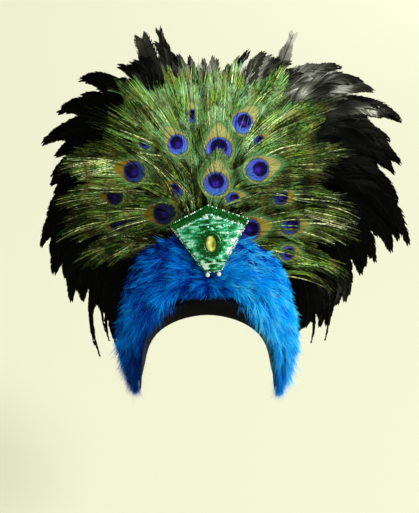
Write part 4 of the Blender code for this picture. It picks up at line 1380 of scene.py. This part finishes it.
def plumage_frame(place, side):
    """Rim, outer edge and outward direction of the plumage at each place."""
    row = plumage_rows(place)
    rim = cap_points(side * np.radians(row["rim_turn"]), row["rim_drop"] * MM, FELT + PLUMAGE_GAP)
    edge = np.stack((side * row["edge_x"], row["edge_y"], row["edge_z"]), axis=-1) * MM
    chord = edge - rim
    away = (rim + edge) * 0.5 - np.array((0.0, 0.010, -0.060))
    away -= chord * ((away * chord).sum(-1) / (chord * chord).sum(-1))[:, None]
    return row, rim, edge, unit(away)


def plumage_surface(place, across, side):
    """Points of the front of the plumage: across runs from the rim, 0, to the outer edge, 1."""
    row, rim, edge, away = plumage_frame(place, side)
    crest = row["crest"]
    rise = np.where(
        across < 0.76,
        np.interp(across, (0.0, 0.16, 0.46, 0.76), (0.0, 0.75, 1.0, 0.0)),
        0.0,
    )
    after = np.interp(across, (0.46, 0.76, 1.0), (0.0, 1.0, 0.0))
    rise = rise + after * crest
    return rim + (edge - rim) * across[:, None] + away * (rise * row["bulge"] * MM)[:, None], away


def add_undercoat(sheaf, side):
    """The soft body under the strands, open only where its two ends meet the flaps."""
    stations = 53
    place = np.linspace(0.0, LAST_STATION, stations)
    rings = []
    for across in np.linspace(0.0, 1.0, 12):
        points, away = plumage_surface(place, np.full(stations, across), side)
        rings.append(points - away * UNDERCOAT_DEPTH)
    row = plumage_rows(place)
    for share in (0.66, 0.33):
        turn = side * np.radians(row["rim_turn"] + (row["back_turn"] - row["rim_turn"]) * share)
        drop = (row["rim_drop"] + (row["back_drop"] - row["rim_drop"]) * share) * MM
        rings.append(cap_points(turn, drop, FELT + PLUMAGE_GAP))
    points = np.stack(rings, axis=1)
    # Each side's corners run the way that turns its faces outwards.
    corners = (0, 3, 2, 1) if side > 0 else (1, 2, 3, 0)
    quads = grid_quads(stations, len(rings), closed=True)[:, corners]
    sheaf.add(points, quads, down=tone_marks(np.full(points.shape[:2], UNDERCOAT_TONE)))


def tuft_flow(place, across, side, brow, inner):
    """The way the tufts lie: outwards and down round the face, and over the rim at its inner side."""
    ahead, _ = plumage_surface(np.minimum(place + 0.05, LAST_STATION), across, side)
    behind, _ = plumage_surface(np.maximum(place - 0.05, 0.0), across, side)
    _, rim, edge, _ = plumage_frame(place, side)
    # By the cheeks the innermost strands hang over the rim.
    over = (across < 0.16)[:, None] * ramp(place, 2.0, 3.5)[:, None]
    outwards = unit(edge - rim) * (0.04 + 0.48 * brow - 0.55 * over - inner)
    return unit(ahead - behind) * (1.0 - 0.25 * brow) + outwards


def tuft_tone(root, across):
    """How pale the tufts are, with painted light and shade: lighter towards the right, bright in patches
    where the down stands up, deep blue in the folds.
    """
    x, z = root[:, 0] / MM, root[:, 2] / MM
    patch = np.sin(0.33 * x + 1.7 * np.sin(0.19 * z)) * np.sin(0.24 * z + 2.0 * np.sin(0.15 * x))
    lit = np.clip(x / 15, -1.0, 1.0)
    # The plaque keeps the light off the middle of the brow.
    shadow = np.exp(-(((x - 8) / 20) ** 2)) * ramp(across, 0.54, 0.09)
    return 0.53 + 0.19 * lit + 0.25 * patch - 0.34 * shadow


def add_tufts(sheaf, side, sizes, draw):
    """Strands in tufts that leave the body and lie outwards and down round the face."""
    tufts = sizes.fur_tufts // 2
    place = draw.uniform(0.0, LAST_STATION if side > 0 else LAST_STATION - 0.7, tufts)
    across = draw.uniform(0.0, 1.0, tufts) ** 1.15
    root, away = plumage_surface(place, across, side)
    brow = ramp(place, 5.0, 0.0)[:, None]
    # Over the brow they turn from upwards to down over the rim.
    inner = ramp(across, 0.32, 0.12)[:, None] * brow
    flow = unit(tuft_flow(place, across, side, brow, inner) + draw.normal(0.0, 0.17, (tufts, 3)))
    length = sizes.fur_length * draw.uniform(0.65, 1.15, tufts) * (1.0 - 0.45 * inner[:, 0])
    length *= np.interp(place, (0.0, 3.0, 11.0, 12.2, 13.0), (0.85, 1.0, 0.95, 0.6, 0.36))
    length *= np.interp(across, (0.0, 0.5, 1.0), (1.0, 1.0, 0.5))
    lie = draw.uniform(0.20, 0.48, tufts) * np.interp(across, (0.0, 0.6, 1.0), (1.0, 1.0, 0.25))
    tone = np.clip(tuft_tone(root, across) + draw.normal(0.0, 0.07, tufts), 0.10, 0.94)
    spread = draw.normal(0.0, 1.0, (tufts, TUFT_STRANDS, 3))
    t = np.linspace(0.0, 1.0, TUFT_STATIONS)[:, None]
    begin = (root[:, None] + spread * TUFT_FOOT - away[:, None] * TUFT_DEPTH)[:, :, None]
    rise = (away * lie[:, None])[:, None, None] * 1.5 * t * (1.0 - 0.62 * t)
    course = flow[:, None, None] + spread[:, :, None] * (0.04 + 0.17 * t)
    size = (length[:, None] * draw.uniform(0.7, 1.15, (tufts, TUFT_STRANDS)))[:, :, None, None]
    points = begin + size * (course * t + rise)
    points[..., 2] -= 0.10 * size[..., 0] * t[:, 0] ** 2
    points = points.reshape(-1, TUFT_STATIONS, 3)
    count = len(points)
    half = TUFT_HALF * draw.uniform(0.7, 1.3, (count, 1)) * taper(TUFT_STATIONS, 0.9, 0.12)
    rolls = draw.normal(0.0, 0.2, count)
    tone = np.repeat(tone, TUFT_STRANDS)[:, None] + draw.normal(0.0, 0.05, (count, 1))
    tone = np.clip(tone + 0.30 * (t[:, 0] - 0.6), 0.02, 1.0)
    normals = np.repeat(away, TUFT_STRANDS, axis=0)[:, None]
    sheaf.add_strands(points, half, rolls, normals, down=tone_marks(tone))


def plaque_matrix():
    """The plaque's own frame: x across, y up its face, z out of its face."""
    roll = Matrix.Rotation(PLAQUE_ROLL, 4, "Z")
    lean = Matrix.Rotation(math.pi / 2 - PLAQUE_LEAN, 4, "X")
    return Matrix.Translation(PLAQUE_CENTRE) @ lean @ roll


def kite_sides(inset=0.0, top=PLAQUE_TOP):
    """The sides of the kite's outline, corner to corner and clockwise, in the plaque's frame."""
    wide = PLAQUE_HALF_WIDTH - 1.6 * inset
    half = [
        (wide, PLAQUE_SHOULDER - 0.25 * inset),
        (PLAQUE_FOOT_HALF - 0.4 * inset, PLAQUE_FOOT + inset),
    ]
    corners = [(0.0, top)] + half + [(-u, w) for u, w in reversed(half)]
    return zip(corners, corners[1:] + corners[:1])


def only(piece):
    """Select this object alone and make it active."""
    bpy.ops.object.select_all(action="DESELECT")
    piece.select_set(True)
    bpy.context.view_layer.objects.active = piece


def copy_of(node, name):
    """A merged copy of a CAD node, to shape further."""
    piece = bpy.data.objects.new(name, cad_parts[node].data.copy())
    bpy.context.scene.collection.objects.link(piece)
    piece.data.materials.clear()
    only(piece)
    bpy.ops.mesh.customdata_custom_splitnormals_clear()
    bpy.ops.object.mode_set(mode="EDIT")
    bpy.ops.mesh.select_all(action="SELECT")
    bpy.ops.mesh.remove_doubles(threshold=MERGE_WITHIN)
    bpy.ops.mesh.tris_convert_to_quads()
    bpy.ops.object.mode_set(mode="OBJECT")
    return piece


def finished(piece, material, levels=0, kind="CATMULL_CLARK"):
    """Divide the piece's faces, shade them smooth, apply its place and give it its material."""
    only(piece)
    if levels:
        made = piece.modifiers.new("Subdivide", "SUBSURF")
        made.levels = levels
        made.render_levels = levels
        made.subdivision_type = kind
        bpy.ops.object.modifier_apply(modifier=made.name)
    bpy.ops.object.transform_apply(location=True, rotation=True, scale=True)
    bpy.ops.object.shade_smooth_by_angle(angle=SMOOTH_ANGLE)
    piece.data.materials.clear()
    piece.data.materials.append(material)
    return piece


def make_cap(material):
    """Felt cap and the plate that carries the quills."""
    for node, name in (("cap", "felt_cap"), ("fan_base", "felt_plate")):
        settle(finished(copy_of(node, name), material, 1), "black_felt", node)


def make_band(material):
    """Velvet band over the brow."""
    settle(finished(copy_of("brow_band", "velvet_band"), material, 2), "black_velvet", "brow_band")


def inside_kite(u, w, inset):
    """Whether points of the plaque's frame lie in the kite, clear of its edge."""
    keep = np.ones(len(u), dtype=bool)
    for (u0, w0), (u1, w1) in kite_sides(inset, PLAQUE_TOP - inset):
        keep &= (u1 - u0) * (w - w0) - (w1 - w0) * (u - u0) <= 0.0
    return keep


def discs(centres, normals, radius, sides, dish, draw):
    """Small dished sequins: a ring and a raised middle each."""
    count = len(centres)
    helper = np.where(np.abs(normals[:, :1]) > 0.9, (0.0, 1.0, 0.0), (1.0, 0.0, 0.0))
    first = unit(np.cross(normals, helper))
    second = np.cross(normals, first)
    turn = 2 * np.pi * np.arange(sides) / sides + draw.uniform(0.0, 1.0, (count, 1))
    ring = centres[:, None] + radius * (
        np.cos(turn)[..., None] * first[:, None] + np.sin(turn)[..., None] * second[:, None]
    )
    middle = centres[:, None] + normals[:, None] * dish
    base = np.arange(count)[:, None] * (sides + 1)
    k = np.arange(0, sides, 2)
    quads = np.stack(
        (base + 0 * k, base + 1 + k, base + 1 + (k + 1) % sides, base + 1 + (k + 2) % sides), axis=-1
    )
    return np.concatenate((middle, ring), axis=1), quads


def give_tint(piece, tone):
    """One tone all over a piece."""
    tint = piece.data.attributes.new("tint", "FLOAT_VECTOR", "POINT")
    marks = tone_marks(np.full(len(piece.data.vertices), tone))
    tint.data.foreach_set("vector", marks.astype(np.float32).ravel())


def sequin_spots(pitch, draw):
    """Places of the sequins in the plaque's frame, row by row, each with the painted streak of highlight
    there.
    """
    knots = np.linspace(-PLAQUE_HALF_WIDTH, PLAQUE_HALF_WIDTH, 22)
    row_flash = np.zeros(len(knots))
    spots = []
    for number, w in enumerate(np.arange(PLAQUE_FOOT, PLAQUE_TOP, pitch * 0.8)):
        us = np.arange(-PLAQUE_HALF_WIDTH, PLAQUE_HALF_WIDTH, pitch) + 0.5 * pitch * (number % 2)
        # Painted highlight in streaks across the film: a run of sequins in a row flashes together.
        row_flash = 0.35 * row_flash + draw.normal(0.0, 0.85, len(knots))
        spots += [(u, w, streak) for u, streak in zip(us, np.interp(us, knots, row_flash))]
    spots = np.array(spots)
    u, w, _ = spots.T
    clear = (u / PATCH_HALF[0]) ** 2 + (w / PATCH_HALF[1]) ** 2 > 0.94
    return spots[clear & inside_kite(u, w, 0.0012)]


def make_plaque(material, sizes):
    """Kite plaque: a padded pad, rows of tilted sequins and a beaded edge."""
    draw = np.random.default_rng(PLAQUE_SEED)
    pad = finished(copy_of("kite_plaque", "plaque_pad"), material, 3, "SIMPLE")
    give_tint(pad, 0.2)
    place = plaque_matrix()
    bpy.context.view_layer.update()
    tree = BVHTree.FromObject(pad, bpy.context.evaluated_depsgraph_get())
    out = (place.to_3x3() @ Vector((0.0, 0.0, 1.0))).normalized()
    centres, normals, tones_found = [], [], []
    for u, w, streak in sequin_spots(sizes.sequin_pitch, draw):
        hit, normal, _, _ = tree.ray_cast(place @ Vector((u, w, 0.02)), -out)
        if hit is None:
            continue
        centres.append(hit + normal * SEQUIN_LIFT)
        normals.append(normal)
        tones_found.append(plaque_tint(u, w, streak, draw))
    normals = unit(np.array(normals) + draw.normal(0.0, 0.12, (len(centres), 3)))
    radius = sizes.sequin_pitch * 0.62
    vertices, quads = discs(np.array(centres), normals, radius, SEQUIN_SIDES, SEQUIN_DISH, draw)
    sheaf = Sheaf("tint")
    sheaf.add(vertices, quads, tint=tone_marks(np.repeat(tones_found, SEQUIN_SIDES + 1)))
    sequins = sheaf.make("plaque_sequins", material)
    settle(pad, "green_lame", "kite_plaque")
    settle(sequins, "green_lame")
    make_edging(material, sizes.edging_bead * 0.5, place, draw)


def plaque_tint(u, w, streak, draw):
    """How pale a sequin is, with painted light and shade: dark on the folded top and round the stone,
    pale streaks of highlight elsewhere.
    """
    corner = PLAQUE_TOP - (PLAQUE_TOP - PLAQUE_SHOULDER) * abs(u) / PLAQUE_HALF_WIDTH
    fold = w - (corner - PLAQUE_RIDGE_DROP)
    # Painted shade on the folded top band.
    if fold > FOLD_HALF:
        return float(np.clip(draw.normal(0.17, 0.07) + 0.09 * max(0.0, streak), 0.02, 0.7))
    if fold > -FOLD_HALF:
        return float(np.clip(draw.normal(0.86, 0.22), 0.2, 1.0))
    # Distance from the lower edge of this side, which runs from the shoulder to the foot.
    run = (w - PLAQUE_FOOT) / (PLAQUE_SHOULDER - PLAQUE_FOOT)
    edge = PLAQUE_FOOT_HALF + (PLAQUE_HALF_WIDTH - PLAQUE_FOOT_HALF) * run - abs(u)
    # Painted highlight near the lower edges.
    flash = math.exp(-((edge / 0.0060) ** 2))
    oval = math.hypot(u / PATCH_HALF[0], w / PATCH_HALF[1])
    stone_shadow = math.exp(-(((oval - 1.0) / 0.42) ** 2)) * (0.36 if u < 0.002 else 0.18)
    # Painted shade down the middle above and below the stone.
    spine = math.exp(-((u / 0.0095) ** 2)) * (w > 0.0)
    heel = math.exp(-((u / 0.012) ** 2)) * (w < -0.012)
    # The right half is a little lighter as painted light.
    base = 0.64 + 0.05 * (u > 0.0) - 0.20 * spine - 0.22 * heel - stone_shadow
    sharp = 0.20 + 0.42 * max(spine, heel) + 0.16 * flash
    tint = base + 0.24 * flash + sharp * streak + draw.normal(0.0, 0.06)
    return float(np.clip(tint, 0.04, 1.0))


def ball(radius, sides, rings):
    """Vertices and quads of a small round bead, open where its thread goes through."""
    polar = np.pi * (0.06 + 0.88 * np.arange(rings + 1) / rings)[:, None]
    turn = 2 * np.pi * np.arange(sides) / sides
    out = np.sin(polar)
    shape = np.stack((out * np.cos(turn), out * np.sin(turn), np.cos(polar) + 0.0 * turn), axis=-1)
    return radius * shape.reshape(-1, 3), grid_quads(rings + 1, sides, closed=True)


def add_beads(sheaf, centres, radius, tints):
    """Put a bead at each centre, in its own tone."""
    shape, quads = ball(radius, 8, 4)
    faces = np.arange(len(centres))[:, None, None] * len(shape) + quads
    sheaf.add(np.array(centres)[:, None] + shape, faces, tint=tone_marks(np.repeat(tints, len(shape))))


def make_edging(material, radius, place, draw):
    """Beads along the kite's edge."""
    centres = []
    for (u0, w0), (u1, w1) in kite_sides(EDGING_INSET):
        count = int(math.dist((u0, w0), (u1, w1)) / (2.25 * radius))
        for share in np.linspace(0.0, 1.0, count, endpoint=False):
            spot = (u0 + (u1 - u0) * share, w0 + (w1 - w0) * share, PLAQUE_EDGE + EDGING_RISE)
            centres.append(tuple(place @ Vector(spot)))
    tints = np.where(draw.random(len(centres)) < 0.6, 1.0, draw.uniform(0.25, 0.6, len(centres)))
    sheaf = Sheaf("tint")
    add_beads(sheaf, centres, radius, tints)
    settle(sheaf.make("plaque_edging", material), "green_lame")


def make_stone(material):
    """The oval stone, cut in two steps up to its table."""
    bpy.ops.object.select_all(action="DESELECT")
    bpy.ops.mesh.primitive_cylinder_add(vertices=16, radius=1.0, depth=1.0, location=(0.0, 0.0, 0.5))
    stone = bpy.context.active_object
    stone.name = "cut_oval_stone"
    bpy.ops.object.mode_set(mode="EDIT")
    select_top(stone)
    for inset, rise in STONE_STEPS:
        bpy.ops.mesh.inset(thickness=inset, depth=0.0)
        bpy.ops.transform.translate(value=(0.0, 0.0, rise))
    bpy.ops.object.mode_set(mode="OBJECT")
    tall = 1.0 + sum(rise for _, rise in STONE_STEPS)
    low = Matrix.Translation((0.0, 0.0, STONE_LOW))
    stone.matrix_world = plaque_matrix() @ low @ Matrix.Diagonal((*STONE_HALF, STONE_HEIGHT / tall, 1.0))
    only(stone)
    bpy.ops.object.transform_apply(location=True, rotation=True, scale=True)
    stone.data.shade_flat()
    stone.data.materials.append(material)
    settle(stone, "olivine_stone", "oval_stone")


def make_patch(material, draw):
    """The dark oval patch under the stone and its rings of beads."""
    patch = finished(copy_of("stone_patch", "sequin_patch"), material, 1)
    give_tint(patch, 0.16)
    settle(patch, "dark_green_patch", "stone_patch")
    place = plaque_matrix()
    centres = []
    for share, rise in PATCH_RINGS:
        count = int(PATCH_BEADS * share)
        for k in range(count):
            turn = 2 * math.pi * (k + 0.5 * draw.random()) / count
            spot = (PATCH_HALF[0] * share * math.cos(turn), PATCH_HALF[1] * share * math.sin(turn))
            centres.append(tuple(place @ Vector((*spot, STONE_LOW + rise))))
    sheaf = Sheaf("tint")
    tints = np.clip(draw.normal(0.3, 0.22, len(centres)), 0.0, 0.95)
    add_beads(sheaf, centres, PATCH_BEAD_RADIUS, tints)
    settle(sheaf.make("patch_beads", material), "dark_green_patch")


def select_top(piece):
    """Select the highest face in edit mode."""
    bpy.ops.mesh.select_mode(type="FACE")
    bpy.ops.mesh.select_all(action="DESELECT")
    bpy.ops.object.mode_set(mode="OBJECT")
    top = max(piece.data.polygons, key=lambda face: face.center.z)
    top.select = True
    bpy.ops.object.mode_set(mode="EDIT")


def make_end_beads(material):
    """Two pearl beads under the foot of the plaque."""
    place = plaque_matrix()
    for name, side in (("end_bead_left", -1), ("end_bead_right", 1)):
        bpy.ops.object.select_all(action="DESELECT")
        low = PLAQUE_FOOT - BEAD_RADIUS - PIECE_GAP
        centre = place @ Vector((side * BEAD_SPREAD, low, PLAQUE_EDGE))
        bpy.ops.mesh.primitive_uv_sphere_add(
            segments=24, ring_count=14, radius=BEAD_RADIUS, location=centre
        )
        piece = bpy.context.active_object
        piece.name = name + "_pearl"
        settle(finished(piece, material), "pearl_bead", name)


def add_camera(scene):
    """The camera, straight in front and looking down at the fan."""
    data = bpy.data.cameras.new("camera")
    data.lens = LENS
    camera = bpy.data.objects.new("camera", data)
    rise = math.radians(VIEW_ELEVATION)
    away = Vector((0.0, -math.cos(rise), math.sin(rise))) * VIEW_DISTANCE
    camera.location = Vector(VIEW_TARGET) + away
    camera.rotation_euler = (math.pi / 2 - rise, 0.0, 0.0)
    scene.collection.objects.link(camera)
    scene.camera = camera


def add_floor(colour):
    """A plain floor of matt cream paper, which takes the light without a gleam."""
    bpy.ops.object.select_all(action="DESELECT")
    bpy.ops.mesh.primitive_circle_add(
        vertices=64, radius=FLOOR_RADIUS, fill_type="NGON", location=(0.0, 0.0, FLOOR_Z)
    )
    floor = bpy.context.active_object
    floor.name = "floor"
    paper, _ = new_material(
        "matt_cream_paper", Base_Color=rgba(colour), Roughness=0.95, Specular_IOR_Level=0.1
    )
    floor.data.materials.append(paper)


def add_lights(scene):
    """Light from all round, a soft sun from the right and the square soft lights."""
    world = bpy.data.worlds.new("studio")
    world.use_nodes = True
    world.node_tree.nodes["Background"].inputs["Color"].default_value = rgba(WORLD_COLOUR)
    world.node_tree.nodes["Background"].inputs["Strength"].default_value = WORLD_STRENGTH
    scene.world = world
    sun = bpy.data.lights.new("right_key", "SUN")
    sun.energy = SUN_STRENGTH
    sun.angle = math.radians(SUN_SPREAD_DEG)
    sun.color = SUN_COLOUR
    lamp = bpy.data.objects.new("right_key", sun)
    lamp.rotation_euler = Vector(SUN_FROM).to_track_quat("Z", "Y").to_euler()
    scene.collection.objects.link(lamp)
    for name, place, target, size, watts, colour in SOFT_LIGHTS:
        data = bpy.data.lights.new(name, "AREA")
        data.size = size
        data.energy = watts
        data.color = colour
        light = bpy.data.objects.new(name, data)
        light.location = place
        light.rotation_euler = (Vector(target) - Vector(place)).to_track_quat("-Z", "Y").to_euler()
        scene.collection.objects.link(light)


class HEADDRESS_OT_stage(bpy.types.Operator):
    """Camera, soft studio lights and a plain pale floor"""

    bl_idname = "headdress.stage"
    bl_label = "Stage"

    def execute(self, context):
        context.scene.view_settings.view_transform = "Standard"
        add_camera(context.scene)
        add_floor(context.scene.headdress_colours.floor)
        add_lights(context.scene)
        return {"FINISHED"}


class HEADDRESS_OT_cap(bpy.types.Operator):
    """Felt cap, velvet brow band and the plate behind the quills"""

    bl_idname = "headdress.cap"
    bl_label = "Cap and band"

    def execute(self, context):
        make_cap(felt_material())
        make_band(velvet_material())
        return {"FINISHED"}


class HEADDRESS_OT_coque(bpy.types.Operator):
    """Sprays of black cock plumes"""

    bl_idname = "headdress.coque"
    bl_label = "Cock plumes"

    def execute(self, context):
        make_sprays(coque_material(context.scene.headdress_colours), context.scene.headdress_sizes)
        return {"FINISHED"}


class HEADDRESS_OT_peacock(bpy.types.Operator):
    """Peacock feathers in their layers"""

    bl_idname = "headdress.peacock"
    bl_label = "Peacock feathers"

    def execute(self, context):
        material = peacock_material(context.scene.headdress_colours)
        for number, row in enumerate(FEATHERS):
            make_feather(row, number, material, context.scene.headdress_sizes)
        return {"FINISHED"}


class HEADDRESS_OT_plumage(bpy.types.Operator):
    """Blue plumage round the face"""

    bl_idname = "headdress.plumage"
    bl_label = "Blue plumage"

    def execute(self, context):
        sheaf = Sheaf("down")
        for side, seed in PLUMAGE_SEEDS:
            add_undercoat(sheaf, side)
            add_tufts(sheaf, side, context.scene.headdress_sizes, np.random.default_rng(seed))
        piece = sheaf.make("marabou_plumage", plumage_material(context.scene.headdress_colours))
        settle(piece, "blue_plumage", "blue_plumage")
        return {"FINISHED"}


class HEADDRESS_OT_plaque(bpy.types.Operator):
    """Sequined kite plaque with its stone and beads"""

    bl_idname = "headdress.plaque"
    bl_label = "Plaque and stone"

    def execute(self, context):
        colours = context.scene.headdress_colours
        sequin = sequin_material(colours)
        make_plaque(sequin, context.scene.headdress_sizes)
        make_stone(stone_material(colours))
        make_patch(sequin, np.random.default_rng(PATCH_SEED))
        make_end_beads(pearl_material())
        return {"FINISHED"}


class HEADDRESS_PT_panel(bpy.types.Panel):
    """Lists the steps that dress the headdress"""

    bl_label = "Feather headdress"
    bl_idname = "HEADDRESS_PT_panel"
    bl_space_type = "VIEW_3D"
    bl_region_type = "UI"
    bl_category = "Headdress"

    def draw(self, context):
        for step in STEPS:
            self.layout.operator(step.bl_idname)
        for group in (context.scene.headdress_sizes, context.scene.headdress_colours):
            for name in group.bl_rna.properties.keys():
                if name not in {"rna_type", "name"}:
                    self.layout.prop(group, name)


STEPS = (
    HEADDRESS_OT_stage,
    HEADDRESS_OT_cap,
    HEADDRESS_OT_coque,
    HEADDRESS_OT_peacock,
    HEADDRESS_OT_plumage,
    HEADDRESS_OT_plaque,
)
CLASSES = (HeaddressSizes, HeaddressColours, *STEPS, HEADDRESS_PT_panel)


def register():
    for kind in CLASSES:
        bpy.utils.register_class(kind)
    bpy.types.Scene.headdress_sizes = PointerProperty(type=HeaddressSizes)
    bpy.types.Scene.headdress_colours = PointerProperty(type=HeaddressColours)


def unregister():
    del bpy.types.Scene.headdress_colours
    del bpy.types.Scene.headdress_sizes
    for kind in reversed(CLASSES):
        bpy.utils.unregister_class(kind)


def main():
    register()
    bpy.ops.headdress.stage()
    bpy.ops.headdress.cap()
    bpy.ops.headdress.coque()
    bpy.ops.headdress.peacock()
    bpy.ops.headdress.plumage()
    bpy.ops.headdress.plaque()
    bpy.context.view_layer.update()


if __name__ == "__main__":
    main()
